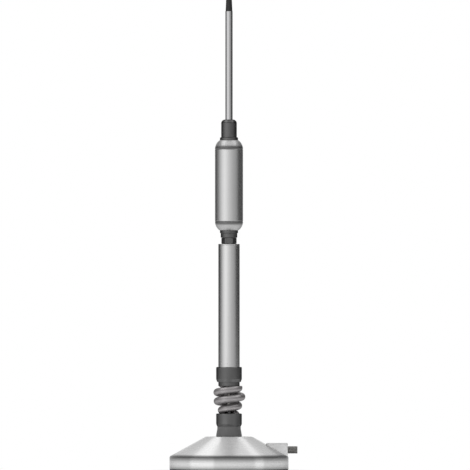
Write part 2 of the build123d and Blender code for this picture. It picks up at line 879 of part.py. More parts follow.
# Loading coil winding: one layer of enamelled wire, its turns spaced apart
with BuildPart() as coil_winding:
    winding_bottom = former_bottom + winding_margin
    winding_height = former_top - winding_margin - winding_bottom
    winding_radius = former_diameter / 2 + press_gap + winding_wire / 2
    with BuildLine(Plane.XY.offset(winding_bottom)) as winding_line:
        Helix(
            pitch=winding_height / winding_turns,
            height=winding_height,
            radius=winding_radius,
        )
    with BuildSketch(Plane(origin=winding_line.line @ 0, z_dir=winding_line.line % 0)):
        Circle(winding_wire / 2)
    sweep(is_frenet=True)
coil_winding.part.label = "coil_winding"
export_step(coil_winding.part, "parts/coil_winding.step")


# Upper ferrule: the whip slides in its bore and two grub screws clamp it
with BuildPart() as whip_ferrule:
    head_radius = ferrule_diameter / 2
    profile = half_section(
        [
            (0, upper_cap_top - shank_length),
            (shank_radius, upper_cap_top - shank_length),
            (shank_radius, upper_cap_top),
            (flange_diameter / 2, upper_cap_top),
            (flange_diameter / 2, ferrule_head_bottom - flange_edge),
            (head_radius, ferrule_head_bottom),
            (head_radius, ferrule_top),
            (0, ferrule_top),
        ]
    )
    revolve(profile, axis=Axis.Z)
    fillet(whip_ferrule.faces().sort_by(Axis.Z)[-1].edges(), radius=ferrule_round)
    with Locations((0, 0, ferrule_top)):
        Hole(
            radius=whip_bore_radius,
            depth=ferrule_top - upper_cap_top + shank_length - whip_bore_end,
        )
    for step in range(2):
        grub_height = ferrule_head_bottom + whip_grub_low + step * whip_grub_pitch
        with Locations(radial_plane(grub_height, head_radius)):
            Hole(radius=grub_radius, depth=head_radius)
whip_ferrule.part.label = "whip_ferrule"
export_step(whip_ferrule.part, "parts/whip_ferrule.step")


# Two grub screws in the back of the ferrule, just clear of the whip while it is tuned
with BuildPart() as whip_grubs:
    whip_grub_length = head_radius - grub_setback - whip_bore_radius
    for step in range(2):
        grub_height = ferrule_head_bottom + whip_grub_low + step * whip_grub_pitch
        grub_inner = radial_plane(grub_height, whip_bore_radius)
        extrude(disc(grub_inner, grub_radius - fit_gap), amount=whip_grub_length)
        socket = hexagon(grub_inner.offset(whip_grub_length), grub_socket_flats)
        extrude(socket, amount=-grub_socket_depth, mode=Mode.SUBTRACT)
whip_grubs.part.label = "whip_grubs"
export_step(whip_grubs.part, "parts/whip_grubs.step")


# Whip: a stainless rod, stepped at the top for its tip
with BuildPart() as whip:
    whip_radius = whip_diameter / 2
    tip_spigot_radius = tip_spigot_diameter / 2
    profile = half_section(
        [
            (0, whip_bottom),
            (whip_radius - whip_chamfer, whip_bottom),
            (whip_radius, whip_bottom + whip_chamfer),
            (whip_radius, whip_top),
            (tip_spigot_radius, whip_top),
            (tip_spigot_radius, whip_top + tip_spigot_length),
            (0, whip_top + tip_spigot_length),
        ]
    )
    revolve(profile, axis=Axis.Z)
whip.part.label = "whip"
export_step(whip.part, "parts/whip.step")


# Black tip pushed over the whip's end, tapering to a rounded top
with BuildPart() as whip_tip:
    tip_top = whip_top + tip_height
    tip_shoulder = tip_top - tip_top_diameter / 2
    with BuildSketch(Plane.XZ):
        with BuildLine():
            Polyline(
                (0, tip_top),
                (0, whip_top + tip_spigot_length),
                (tip_spigot_radius + press_gap, whip_top + tip_spigot_length),
                (tip_spigot_radius + press_gap, whip_top),
                (tip_foot_diameter / 2, whip_top),
                (tip_top_diameter / 2, tip_shoulder),
            )
            RadiusArc((tip_top_diameter / 2, tip_shoulder), (0, tip_top), -tip_top_diameter / 2)
        make_face()
    revolve(axis=Axis.Z)
whip_tip.part.label = "whip_tip"
export_step(whip_tip.part, "parts/whip_tip.step")
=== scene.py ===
import json
import math

import bpy
import numpy as np
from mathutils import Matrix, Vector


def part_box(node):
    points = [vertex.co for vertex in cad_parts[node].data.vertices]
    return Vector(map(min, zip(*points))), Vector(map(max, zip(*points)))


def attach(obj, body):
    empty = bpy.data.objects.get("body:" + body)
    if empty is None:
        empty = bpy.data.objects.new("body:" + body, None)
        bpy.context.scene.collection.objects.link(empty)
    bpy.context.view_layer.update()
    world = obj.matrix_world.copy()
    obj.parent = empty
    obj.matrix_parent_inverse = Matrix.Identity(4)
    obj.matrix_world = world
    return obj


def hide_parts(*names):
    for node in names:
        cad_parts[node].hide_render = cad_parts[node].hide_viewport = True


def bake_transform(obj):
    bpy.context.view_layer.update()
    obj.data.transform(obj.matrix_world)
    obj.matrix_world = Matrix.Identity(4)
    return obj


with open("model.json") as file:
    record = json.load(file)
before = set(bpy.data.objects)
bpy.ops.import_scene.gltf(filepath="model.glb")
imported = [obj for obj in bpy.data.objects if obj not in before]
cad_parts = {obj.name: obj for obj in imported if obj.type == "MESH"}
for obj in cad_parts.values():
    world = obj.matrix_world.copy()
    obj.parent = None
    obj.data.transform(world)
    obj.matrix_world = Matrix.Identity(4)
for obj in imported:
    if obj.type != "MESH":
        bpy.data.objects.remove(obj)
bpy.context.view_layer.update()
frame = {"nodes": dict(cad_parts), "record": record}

# The antenna stands on its magnet base on a white table, seen square from the side by a long lens.
# Lengths are in metres, and mm turns a size in millimetres into them.
mm = 0.001

# Camera: level with the middle of the antenna and far away, as a side view in a catalogue is taken.
# The picture is 470 pixels wide and shows 1.05 mm in each; the mast is 6 pixels left of its middle.
picture_pixels = 470
pixel = 1.05 * mm
view_centre = (6 * pixel, 236 * pixel)
lens = 900.0
sensor = 36.0
camera_distance = picture_pixels * pixel * lens / sensor
camera_data = bpy.data.cameras.new("camera")
camera_data.lens = lens
camera_data.sensor_width = sensor
camera_data.clip_end = 4 * camera_distance
camera = bpy.data.objects.new("camera", camera_data)
camera.location = (view_centre[0], -camera_distance, view_centre[1])
camera.rotation_euler = (math.pi / 2, 0, 0)
bpy.context.scene.collection.objects.link(camera)
bpy.context.scene.camera = camera
bpy.context.scene.view_settings.view_transform = "Standard"


class Socket:
    """Wraps an output socket of a shader tree, so that shader maths reads as an expression."""

    def __init__(self, tree, socket=None):
        self.tree = tree
        self.socket = socket

    def node(self, kind, settings=(), inputs=(), output=0):
        """Adds a node: its settings first, then the values or links of its inputs."""
        made = self.tree.nodes.new(kind)
        for name, value in dict(settings).items():
            if name == "stops":
                first, last = made.color_ramp.elements
                first.position, last.position = value[0][0], value[-1][0]
                between = [made.color_ramp.elements.new(stop[0]) for stop in value[1:-1]]
                for element, stop in zip([first, *between, last], value):
                    element.color = (stop[1], stop[1], stop[1], 1)
            else:
                setattr(made, name, value)
        for name, value in dict(inputs).items():
            if isinstance(value, Socket):
                self.tree.links.new(value.socket, made.inputs[name])
            else:
                made.inputs[name].default_value = value
        return Socket(self.tree, made.outputs[output] if made.outputs else None)

    def maths(self, operation, *values):
        return self.node("ShaderNodeMath", {"operation": operation}, enumerate(values))

    def __add__(self, other):
        return self.maths("ADD", self, other)

    def __sub__(self, other):
        return self.maths("SUBTRACT", self, other)

    def __rsub__(self, other):
        return self.maths("SUBTRACT", other, self)

    def __mul__(self, other):
        return self.maths("MULTIPLY", self, other)

    def __truediv__(self, other):
        return self.maths("DIVIDE", self, other)

    def __pow__(self, other):
        return self.maths("POWER", self, other)

    __radd__ = __add__
    __rmul__ = __mul__

    def step(self, start, end):
        """Rises smoothly from 0 to 1 as the value goes from start to end."""
        settings = {"interpolation_type": "SMOOTHSTEP"}
        limits = {0: self, 1: start, 2: end, 3: 0.0, 4: 1.0}
        return self.node("ShaderNodeMapRange", settings, limits)

    def band(self, start, end, soft):
        """1 between start and end, 0 outside, with edges as wide as soft."""
        half = soft / 2
        return self.step(start - half, start + half) * (1 - self.step(end - half, end + half))


def grey(value):
    """Colour of one value."""
    return (value, value, value, 1)


# Studio: white all round, with two arched strip lights over the base, which only shiny surfaces see.
# Level with the antenna stands a wall, dark at both sides and light behind, with dark flags above its
# sides and a dark gap under the ceiling in front. A soft key lamp stands at the front on the left.
# Turns are in degrees from the front, positive to the right, and rises in degrees above level. The
# strips' turns are measured at the point of the sky straight behind, which halves them and makes the
# strips arch.
strip_edge = 1.2
strip_pole = 1.0001
left_strip_turn, left_strip_rise = (-38.5, -17.0), (-6.0, 2.0)
right_strip_turn, right_strip_rise = (24.0, 34.0), (14.0, 20.0)
wall_turns = [
    (-180, 1.2), (-158, 0.7), (-140, 0.12), (-125, 0.08), (-98, 0.34), (-76, 0.86), (-56, 1.35),
    (-36, 1.65), (-18, 1.42), (0, 1.12), (33, 0.72), (55, 0.55), (70, 0.36), (84, 0.10), (96, 0.06),
    (135, 0.10), (158, 0.8), (180, 1.2),
]
wall_peak = 1.65
wall_end_rise = (13.0, 22.0)
gap_turn_end, gap_rise, gap_edge = (75.0, 105.0), (13.0, 36.0), 8.0
flag_turn, flag_edge, flag_end_rise = (84.0, 150.0), 20.0, (40.0, 60.0)
dark_share = 0.8
soft_light = 0.8
world = bpy.data.worlds.new("studio")
bpy.context.scene.world = world
world.use_nodes = True
world.cycles.sampling_method = "NONE"
world.node_tree.nodes.clear()
studio = Socket(world.node_tree)
direction = studio.node("ShaderNodeTexCoord", output="Generated")
along_x = studio.node("ShaderNodeSeparateXYZ", inputs={0: direction})
along_y = Socket(studio.tree, along_x.socket.node.outputs[1])
along_z = Socket(studio.tree, along_x.socket.node.outputs[2])
degrees = 180 / math.pi
round_angle = along_x.maths("ARCTAN2", along_x, 0 - along_y) * degrees
height_angle = along_z.maths("ARCSINE", along_z) * degrees
strip_angle = along_x.maths("ARCTAN2", along_x, strip_pole - along_y) * degrees
left_strip = strip_angle.band(*left_strip_turn, strip_edge) * height_angle.step(*left_strip_rise)
right_strip = strip_angle.band(*right_strip_turn, strip_edge) * height_angle.step(*right_strip_rise)
surround = 1.0 + left_strip + right_strip
wall_stops = [((turn + 180) / 360, tone / wall_peak) for turn, tone in wall_turns]
wall_tone = wall_peak * studio.node(
    "ShaderNodeValToRGB", {"stops": wall_stops}, {0: (round_angle + 180.0) / 360.0}
)
steepness = height_angle.maths("ABSOLUTE", height_angle)
off_front = round_angle.maths("ABSOLUTE", round_angle)
wall_height = 1 - steepness.step(*wall_end_rise)
gap = steepness.band(*gap_rise, gap_edge) * (1 - off_front.step(*gap_turn_end))
flags = off_front.band(*flag_turn, flag_edge) * (1 - steepness.step(*flag_end_rise))
beyond_wall = surround * (1 - wall_height) * (1 - dark_share * flags)
seen = (beyond_wall + wall_tone * wall_height) * (1 - dark_share * gap)
ray = studio.node("ShaderNodeLightPath", output="Is Camera Ray")
glossy_ray = Socket(studio.tree, ray.socket.node.outputs["Is Glossy Ray"])
diffuse_ray = Socket(studio.tree, ray.socket.node.outputs["Is Diffuse Ray"])
strength = diffuse_ray * soft_light + glossy_ray * seen + (1 - diffuse_ray) * (1 - glossy_ray)
background = studio.node("ShaderNodeBackground", inputs={"Color": grey(1.0), "Strength": strength})
studio.node("ShaderNodeOutputWorld", inputs={"Surface": background})

key_width, key_height = 0.9, 1.1
key_watts = 13.0
key_place = (-1.1, -1.3, 1.25)
key_target = (0.0, 0.0, 0.15)
key_data = bpy.data.lights.new("key", "AREA")
key_data.shape = "RECTANGLE"
key_data.size, key_data.size_y = key_width, key_height
key_data.energy = key_watts
key = bpy.data.objects.new("key", key_data)
key.location = key_place
key_aim = np.array(key_target) - key_place
key.rotation_euler = (
    math.atan2(math.hypot(key_aim[0], key_aim[1]), -key_aim[2]),
    0,
    math.atan2(-key_aim[0], key_aim[1]),
)
key.visible_glossy = False
bpy.context.scene.collection.objects.link(key)


def skin(name, rows, material, closed=False):
    """Puts in a surface through rows of points, rows[row, place] being (x, y, z). Each row is a closed
    ring. A closed surface joins its last row to its first; otherwise both end rows are poles, which use
    their first point only. If the volume comes out negative, the faces point inwards and are turned."""
    number = np.arange(rows.shape[0] * rows.shape[1]).reshape(rows.shape[:2])
    if not closed:
        number[[0, -1]] = number[[0, -1], :1]
    near = number if closed else number[:-1]
    far = np.roll(number, -1, 0) if closed else number[1:]
    quad = np.stack([near, np.roll(near, -1, 1), np.roll(far, -1, 1), far], -1).reshape(-1, 4)
    no_near, no_far = quad[:, 0] == quad[:, 1], quad[:, 2] == quad[:, 3]
    whole = quad[~no_near & ~no_far]
    faces = [whole, quad[no_near & ~no_far][:, [0, 2, 3]], quad[no_far & ~no_near][:, [0, 1, 2]]]
    used, renumbered = np.unique(np.concatenate([np.ravel(f) for f in faces]), return_inverse=True)
    corner = rows.reshape(-1, 3)[used]
    volume, first, lists = 0.0, 0, []
    for group in faces:
        group = renumbered[first:first + group.size].reshape(group.shape)
        first += group.size
        for step in range(1, group.shape[1] - 1):
            a, b, c = corner[group[:, 0]], corner[group[:, step]], corner[group[:, step + 1]]
            volume += np.einsum("ij,ij->", a, np.cross(b, c))
        lists.append(group)
    faces_out = [face for group in lists for face in (group if volume > 0 else group[:, ::-1]).tolist()]
    mesh = bpy.data.meshes.new(name)
    mesh.from_pydata(corner.tolist(), [], faces_out)
    mesh.polygons.foreach_set("use_smooth", np.ones(len(faces_out), bool))
    mesh.set_sharp_from_angle(angle=math.radians(35))
    mesh.materials.append(material)
    piece = bpy.data.objects.new(name, mesh)
    bpy.context.scene.collection.objects.link(piece)
    return piece


def round_angles(count):
    """Angles at even steps round a circle."""
    return np.linspace(0, 2 * np.pi, count, endpoint=False)


def rounded(corners, steps=6, guard=0.08 * mm):
    """Closed outline with an arc at each corner. A corner is (radius, height, bend): with the side
    coming in along i, its arc is start + bend * (sin(t) i + (1 - cos(t)) n), t from 0 to the turn.
    A guard point close to each end of an arc keeps the shading of the flat sides flat. A corner with no
    bend is one point."""
    corner = np.array(corners, float)
    place, bend = corner[:, :2], corner[:, 2:]
    going_in = place - np.roll(place, 1, 0)
    going_in /= np.linalg.norm(going_in, axis=1, keepdims=True)
    going_out = np.roll(going_in, -1, 0)
    cross = going_in[:, 0] * going_out[:, 1] - going_in[:, 1] * going_out[:, 0]
    turn = np.arctan2(cross, (going_in * going_out).sum(1))[:, None]
    inward = np.stack([-going_in[:, 1], going_in[:, 0]], 1) * np.sign(turn)
    start = place - going_in * bend * np.tan(np.abs(turn) / 2)
    t = (np.abs(turn) * np.linspace(0, 1, steps + 1))[:, :, None]
    arc = start[:, None] + bend[:, None] * (
        np.sin(t) * going_in[:, None] + (1 - np.cos(t)) * inward[:, None]
    )
    side = np.linalg.norm(np.roll(arc[:, 0], -1, 0) - arc[:, -1], axis=1, keepdims=True)
    reach = np.minimum(guard, side / 4)[:, None]
    bent = (bend > 0)[:, None]
    before = arc[:, :1] - going_in[:, None] * np.roll(reach, 1, 0) * bent
    after = arc[:, -1:] + going_out[:, None] * reach * bent
    outline = np.concatenate([before, arc, after], 1).reshape(-1, 2)
    step = np.linalg.norm(outline - np.roll(outline, 1, 0), axis=1)
    return outline[step > 1e-8]


def turned(name, outline, material, around=160):
    """Surface of revolution: the outline's point at radius r and height z is carried round the axis to
    the angle a as (r cos a, r sin a, z). Its points on the axis become poles."""
    outline = np.array(outline, float)
    on_axis = outline[:, 0] < 1e-7
    if on_axis.any():
        outline = np.roll(outline, -int(np.flatnonzero(on_axis & ~np.roll(on_axis, -1))[0]), 0)
        outline = outline[: int(np.flatnonzero(outline[1:, 0] < 1e-7)[0]) + 2]
    angle = round_angles(around)
    radius, height = outline.T[:, :, None]
    rows = np.stack([radius * np.cos(angle), radius * np.sin(angle), height + 0 * angle], -1)
    return skin(name, rows, material, closed=not on_axis.any())


def finish(name, surface, **constants):
    """Material from a function that gives the varying sockets of its surface; constants are set directly
    on the shader."""
    made = bpy.data.materials.new(name)
    made.use_nodes = True
    made.node_tree.nodes.clear()
    start = Socket(made.node_tree)
    place = start.node("ShaderNodeTexCoord", output="Object")
    inputs = surface(place)
    inputs.update({key.replace("_", " "): value for key, value in constants.items()})
    shader = start.node("ShaderNodeBsdfPrincipled", inputs=inputs)
    start.node("ShaderNodeOutputMaterial", inputs={"Surface": shader})
    return made


def noise(place, scale, detail=2.0, stretch=(1, 1, 1)):
    """Soft noise from 0 to 1, with its cells stretched along the axes; scale is cells to a metre."""
    moved = place.node("ShaderNodeMapping", inputs={"Vector": place, "Scale": stretch})
    inputs = {"Vector": moved, "Scale": scale, "Detail": detail}
    return place.node("ShaderNodeTexNoise", inputs=inputs)


def between(mask, low, high):
    """Colour that goes from low to high with a mask from 0 to 1."""
    inputs = {"Factor": mask, 6: low, 7: high}
    return mask.node("ShaderNodeMix", {"data_type": "RGBA"}, inputs, output=2)


def bump(height, distance, strength=1.0):
    """Normal from a height that varies from 0 to 1 over a distance in metres."""
    inputs = {"Height": height, "Distance": distance, "Strength": strength}
    return height.node("ShaderNodeBump", inputs=inputs)


def axes(place):
    """The three coordinates of a place."""
    x = place.node("ShaderNodeSeparateXYZ", inputs={0: place})
    return [Socket(place.tree, output) for output in x.socket.node.outputs]


def off_axis(place):
    """Distance from the antenna's axis."""
    x, y, _ = axes(place)
    return (x * x + y * y) ** 0.5


# Table: a plain white sheet. Close round the base it keeps the antenna's shadow, and beyond that it is
# as white as the background. Shiny surfaces see its far part as a little darker.
table_radius = 2.6
table_top = -0.02 * mm
table_depth = 0.04
shadow_reach = (0.068, 0.11)
far_part, far_edge, far_loss = (0.42, 1.05), 0.15, 0.3


def white_sheet(place):
    dust = noise(place, 40.0, 3.0)
    return {"Base Color": between(dust, grey(0.84), grey(0.86)), "Roughness": 0.7 + 0.05 * dust}


table_material = finish("white_sheet", white_sheet)
sheet_output = next(n for n in table_material.node_tree.nodes if n.type == "OUTPUT_MATERIAL")
sheet_shader = next(n for n in table_material.node_tree.nodes if n.type == "BSDF_PRINCIPLED")
sheet = Socket(table_material.node_tree, sheet_shader.outputs[0])
sheet_place = sheet.node("ShaderNodeTexCoord", output="Object")
camera_ray = sheet.node("ShaderNodeLightPath", output="Is Camera Ray")
mirror_ray = Socket(sheet.tree, camera_ray.socket.node.outputs["Is Glossy Ray"])
away = off_axis(sheet_place)
far_tone = 1 - far_loss * mirror_ray * away.band(*far_part, far_edge)
glow = sheet.node("ShaderNodeEmission", inputs={"Color": grey(1.0), "Strength": far_tone})
white_out = away.step(*shadow_reach) * (camera_ray + mirror_ray)
sheet_mix = sheet.node("ShaderNodeMixShader", inputs={0: white_out, 1: sheet, 2: glow})
sheet.tree.links.new(sheet_mix.socket, sheet_output.inputs["Surface"])
table_foot = table_top - table_depth
table_outline = [(0, table_top), (table_radius, table_top), (table_radius, table_foot), (0, table_foot)]
table = turned("table", table_outline, table_material, around=96)


# Reflector: a low glowing ring on the table round the base, which only shiny surfaces see. Its two
# brighter parts lie under the strip lights and carry their reflections down over the skirt.
ring_radius = 100 * mm
ring_height = 36 * mm
ring_wall = 1 * mm
ring_left_turn, ring_right_turn, ring_edge = (-57.0, -20.5), (36.0, 50.0), 1.5
ring_plain_glow, ring_band_glow = 0.95, 0.8
ring_material = bpy.data.materials.new("reflector_white")
ring_material.use_nodes = True
ring_material.cycles.emission_sampling = "NONE"
ring_material.node_tree.nodes.clear()
ring = Socket(ring_material.node_tree)
ring_x, ring_y, _ = axes(ring.node("ShaderNodeTexCoord", output="Object"))
ring_turn = ring_x.maths("ARCTAN2", ring_x, 0 - ring_y) * degrees
ring_bands = ring_turn.band(*ring_left_turn, ring_edge) + ring_turn.band(*ring_right_turn, ring_edge)
ring_glow = ring_plain_glow + ring_band_glow * ring_bands
ring_white = ring.node("ShaderNodeEmission", inputs={"Color": grey(1.0), "Strength": ring_glow})
ring.node("ShaderNodeOutputMaterial", inputs={"Surface": ring_white})
ring_outer = ring_radius + ring_wall
ring_outline = [(ring_radius, 0), (ring_outer, 0), (ring_outer, ring_height), (ring_radius, ring_height)]
reflector = turned("reflector", ring_outline, ring_material)
reflector.visible_camera = False
reflector.visible_diffuse = False
reflector.visible_shadow = False


# Rubber pad: a thin black sheet glued under the magnet, cut a little smaller than the shell. Its face is
# lightly grained so that it grips the roof, and its lower edge is bevelled.
node_body = {
    node: body for body, nodes in frame["record"]["behaviour"]["bodies"].items() for node in nodes
}
node_slot = {part["node"]: part["material_slot"] for part in frame["record"]["subparts"]}


def extent(node):
    """Radius, bottom and top of a round CAD node on the antenna's axis."""
    low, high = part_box(node)
    return high.x, low.z, high.z


def stands_for(piece, node, moves=True):
    """The piece takes the CAD node's place, which is hidden, and its body if it moves."""
    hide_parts(node)
    if moves:
        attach(piece, node_body[node])


def lathe(name, corners, material, around=160, steps=6):
    """Piece turned from an outline of rounded corners."""
    return turned(name, rounded(corners, steps), material, around)


def pad_rubber(place):
    grain = noise(place, 1400.0, 3.0)
    dust = noise(place, 60.0, 5.0).step(0.45, 0.75)
    return {
        "Base Color": between(dust * 0.7, grey(0.022), grey(0.05)),
        "Roughness": 0.68 + 0.2 * dust,
        "Normal": bump(grain, 0.06 * mm),
    }


pad_material = finish("pad_rubber", pad_rubber, Specular_IOR_Level=0.35)
pad_radius, pad_bottom, pad_top = extent("rubber_pad")
pad_bevel = 0.5 * mm
pad = lathe(
    "pad",
    [
        (0, pad_bottom, 0),
        (pad_radius - pad_bevel, pad_bottom, 0.2 * mm),
        (pad_radius, pad_bottom + pad_bevel, 0.2 * mm),
        (pad_radius, pad_top, 0.1 * mm),
        (0, pad_top, 0),
    ],
    pad_material,
)
stands_for(pad, "rubber_pad")


# Base shell: one sheet of metal spun over a form, with a skirt, a slope and a flat crown, and pressed
# over the yoke. The spinning tool leaves fine rings, and a rolled crease parts the skirt from the slope.
shell_radius, shell_bottom, shell_top = extent("base_shell")
crown_radius = 24.5 * mm
shoulder_height = 15.3 * mm
shell_wall = 1.6 * mm
shell_hole = 7.1 * mm
crease_depth = 0.7 * mm
crease_foot, crease_seat = 14.7 * mm, 15.15 * mm
# Heights of the painted shade in the shell's colour, under the crease and at the foot.
shade_start, shade_peak, shade_end = 8.0 * mm, 15.8 * mm, 18.4 * mm
foot_shade = (0.3 * mm, 7.4 * mm)
slope_fall = (shell_top - shoulder_height) / (shell_radius - crown_radius)
slope_angle = math.atan(slope_fall)


def slope_height(radius, below=0.0):
    """Height of the slope at a distance from the axis, or of a face that lies below it in the wall."""
    return shell_top - below / math.cos(slope_angle) - slope_fall * (radius - crown_radius)


def wear(value, at, width):
    """1 at a value, falling smoothly to 0 on both sides of it."""
    away = value - at
    return 1 - away.maths("ABSOLUTE", away).step(0.0, width)


def spun_metal(place):
    _, _, z = axes(place)
    radius = off_axis(place)
    along = z.node("ShaderNodeCombineXYZ", inputs={0: radius, 1: z, 2: 0.0})
    rings = noise(along, 2600.0, 2.0)
    cloud = noise(place, 38.0, 4.0)
    rub = noise(place, 300.0, 4.0, (1, 1, 4)).step(0.45, 0.7)
    edge = wear(z, shoulder_height + 0.5 * mm, 1.2 * mm) + wear(radius, crown_radius, 1.6 * mm)
    worn = edge.maths("MINIMUM", edge, 1.0) * rub
    tone = between(rings * 0.5 + cloud * 0.5, grey(0.64), grey(0.70))
    # Painted shade: the colour darkens under the crease and towards the foot of the skirt.
    painted_crease_shade = z.step(shade_start, shade_peak) * (1 - z.step(shade_peak, shade_end))
    painted_foot_shade = 1 - z.step(*foot_shade)
    painted_shade = painted_crease_shade * 0.92 + painted_foot_shade * 0.86
    return {
        "Base Color": between(painted_shade, between(worn * 0.6, tone, grey(0.74)), grey(0.055)),
        "Roughness": 0.21 + 0.08 * cloud + 0.04 * rings,
        "Normal": bump(rings, 0.012 * mm),
    }


shell_material = finish(
    "spun_metal",
    spun_metal,
    Metallic=0.45,
    Anisotropic=0.8,
    Anisotropic_Rotation=0.25,
    Specular_Tint=grey(0.25),
)
shell_lip = shell_radius - 0.45 * mm
shell_inside = shell_radius - shell_wall
crown_inside = crown_radius - 0.44 * mm
shell = lathe(
    "shell",
    [
        (shell_inside, shell_bottom, 0.3 * mm),
        (shell_radius, shell_bottom, 0.5 * mm),
        (shell_radius, crease_foot, 0.5 * mm),
        (shell_radius - crease_depth, crease_seat, 0.12 * mm),
        (shell_lip, slope_height(shell_lip), 0.4 * mm),
        (crown_radius, shell_top, 3.0 * mm),
        (shell_hole, shell_top, 0.15 * mm),
        (shell_hole, shell_top - shell_wall, 0.15 * mm),
        (crown_inside, shell_top - shell_wall, 1.4 * mm),
        (shell_inside, slope_height(shell_inside, shell_wall), 0.8 * mm),
    ],
    shell_material,
    around=256,
)
stands_for(shell, "base_shell")


# Jack housing: a small metal wedge, cast and left with a fine matt grain, its edges rounded over. It is
# screwed to the slope from inside, so nothing but the jack breaks its faces.
housing_low, housing_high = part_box("jack_housing")
housing_edge = 1.0 * mm
housing_corner = 1.15 * mm
housing_seat = 0.03 * mm
housing_around = 280
floor_shares = (0.0, 0.3, 0.6, 0.9, 0.995)
wall_shares = (0.0, 0.03, 0.5, 0.97)
roof_shares = (0.985, 0.6, 0.3, 0.0)


def even(outline, count):
    """Points at even distances round a closed outline."""
    closed = np.concatenate([outline, outline[:1]])
    travelled = np.concatenate([[0], np.cumsum(np.linalg.norm(np.diff(closed, axis=0), axis=1))])
    wanted = np.linspace(0, travelled[-1], count, endpoint=False)
    return np.stack([np.interp(wanted, travelled, across) for across in closed.T], 1)


def housing_plan(inset):
    """Rounded rectangle of the housing seen from above, drawn in by inset."""
    left, right = housing_low.x + inset, housing_high.x - inset
    side, bend = housing_high.y - inset, housing_corner - inset
    corners = [(left, -side, bend), (right, -side, bend), (right, side, bend), (left, side, bend)]
    return even(rounded(corners, steps=12), housing_around)


def sand_cast(place):
    speck = noise(place, 2200.0, 2.0)
    cloud = noise(place, 90.0, 4.0)
    _, _, z = axes(place)
    rub = noise(place, 500.0, 3.0).step(0.4, 0.65)
    worn = wear(z, housing_high.z, 0.9 * mm) * rub
    return {
        "Base Color": between(worn * 0.5, between(cloud, grey(0.56), grey(0.63)), grey(0.72)),
        "Roughness": 0.36 + 0.1 * cloud,
        "Normal": bump(speck, 0.02 * mm),
    }


housing_material = finish("sand_cast", sand_cast, Metallic=1.0, Specular_Tint=grey(0.3))
housing_middle = np.array([(housing_low.x + housing_high.x) / 2, 0.0])
wall_plan = housing_plan(0.0)
wall_foot = slope_height(np.hypot(wall_plan[:, 0], wall_plan[:, 1])) + housing_seat
round_top = np.radians(np.linspace(0, 90, 8))
housing_rings = []
for share in floor_shares:
    plan = housing_middle + share * (wall_plan - housing_middle)
    under = slope_height(np.hypot(plan[:, 0], plan[:, 1])) + housing_seat
    housing_rings.append(np.column_stack([plan, under]))
for share in wall_shares:
    level = wall_foot + share * (housing_high.z - housing_edge - wall_foot)
    housing_rings.append(np.column_stack([wall_plan, level]))
for t in round_top:
    plan = housing_plan(housing_edge * (1 - math.cos(t)))
    level = np.full(len(plan), housing_high.z - housing_edge * (1 - math.sin(t)))
    housing_rings.append(np.column_stack([plan, level]))
top_plan = housing_plan(housing_edge)
for share in roof_shares:
    plan = housing_middle + share * (top_plan - housing_middle)
    housing_rings.append(np.column_stack([plan, np.full(len(plan), housing_high.z)]))
housing = skin("housing", np.stack(housing_rings), housing_material)
stands_for(housing, "jack_housing")


# Coaxial jack: a nickel-plated barrel with an M8 fine thread, its shoulder pressed into the housing.
# A white sleeve inside carries the centre contact.
jack_low, jack_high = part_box("jack_body")
jack_height = (jack_low.z + jack_high.z) / 2
jack_inside = jack_low.x
jack_face = housing_high.x
jack_end = jack_high.x
jack_flange_radius = jack_high.y
jack_thread_radius = 4.0 * mm
jack_bore_radius = 2.7 * mm
jack_pitch = 0.75 * mm
jack_thread_depth = 0.4 * mm
jack_runout = 0.7 * jack_pitch
crest_slope, crest_root = 1.35, 0.15
jack_relief = 0.5 * mm
jack_relief_radius = 3.5 * mm
jack_tail_radius = 3.7 * mm
jack_shoulder_radius = 4.3 * mm
jack_proud = 0.12 * mm
jack_chamfer = 0.4 * mm
jack_mouth = 0.15 * mm
flange_back = jack_face - 3.6 * mm
flange_front = jack_face - 1.6 * mm
jack_around, thread_rows = 96, 150


def nickel_plate(place):
    _, y, z = axes(place)
    rise = z - jack_height
    from_axis = (y * y + rise * rise) ** 0.5
    tarnish = noise(place, 500.0, 4.0)
    valley = 1 - from_axis.step(jack_thread_radius - jack_thread_depth, jack_thread_radius - 0.1 * mm)
    return {
        "Base Color": between(valley * 0.6 + tarnish * 0.3, grey(0.46), (0.22, 0.205, 0.18, 1)),
        "Roughness": 0.26 + 0.2 * tarnish + 0.1 * valley,
        "Normal": bump(tarnish, 0.01 * mm),
    }


jack_material = finish("nickel_plate", nickel_plate, Metallic=1.0, Specular_Tint=grey(0.4))
thread_start = jack_face + jack_relief
thread_x = np.linspace(thread_start, jack_end, thread_rows)
plain = np.array(
    [
        (jack_inside, jack_bore_radius),
        (jack_inside, jack_tail_radius),
        (flange_back, jack_tail_radius),
        (flange_back, jack_flange_radius),
        (flange_front, jack_flange_radius),
        (flange_front, jack_shoulder_radius),
        (jack_face + jack_proud, jack_shoulder_radius - 0.05 * mm),
        (jack_face + jack_proud, jack_relief_radius),
        (thread_start - 0.02 * mm, jack_relief_radius),
    ]
)
mouth = np.array([(jack_end, jack_bore_radius + jack_mouth), (jack_end - jack_mouth, jack_bore_radius)])
jack_angle = round_angles(jack_around)
wave = np.abs(2 * (((thread_x[:, None] - thread_start) / jack_pitch - jack_angle / (2 * np.pi)) % 1) - 1)
crest = np.clip(crest_slope * wave - crest_root, 0, 1)
runout = np.clip((thread_x - thread_start) / jack_runout, 0, 1)[:, None]
ridge = jack_thread_radius - jack_thread_depth * (1 - crest * runout)
chamfered = np.minimum(ridge, jack_thread_radius - jack_chamfer + (jack_end - thread_x)[:, None])
jack_radius = np.concatenate(
    [np.repeat(plain[:, 1:], jack_around, 1), chamfered, np.repeat(mouth[:, 1:], jack_around, 1)]
)
jack_x = np.concatenate([plain[:, 0], thread_x, mouth[:, 0]])[:, None] + 0 * jack_angle
jack_rows = np.stack(
    [jack_x, jack_radius * np.cos(jack_angle), jack_height + jack_radius * np.sin(jack_angle)], -1
)
jack = skin("jack", jack_rows, jack_material, closed=True)
stands_for(jack, "jack_body")


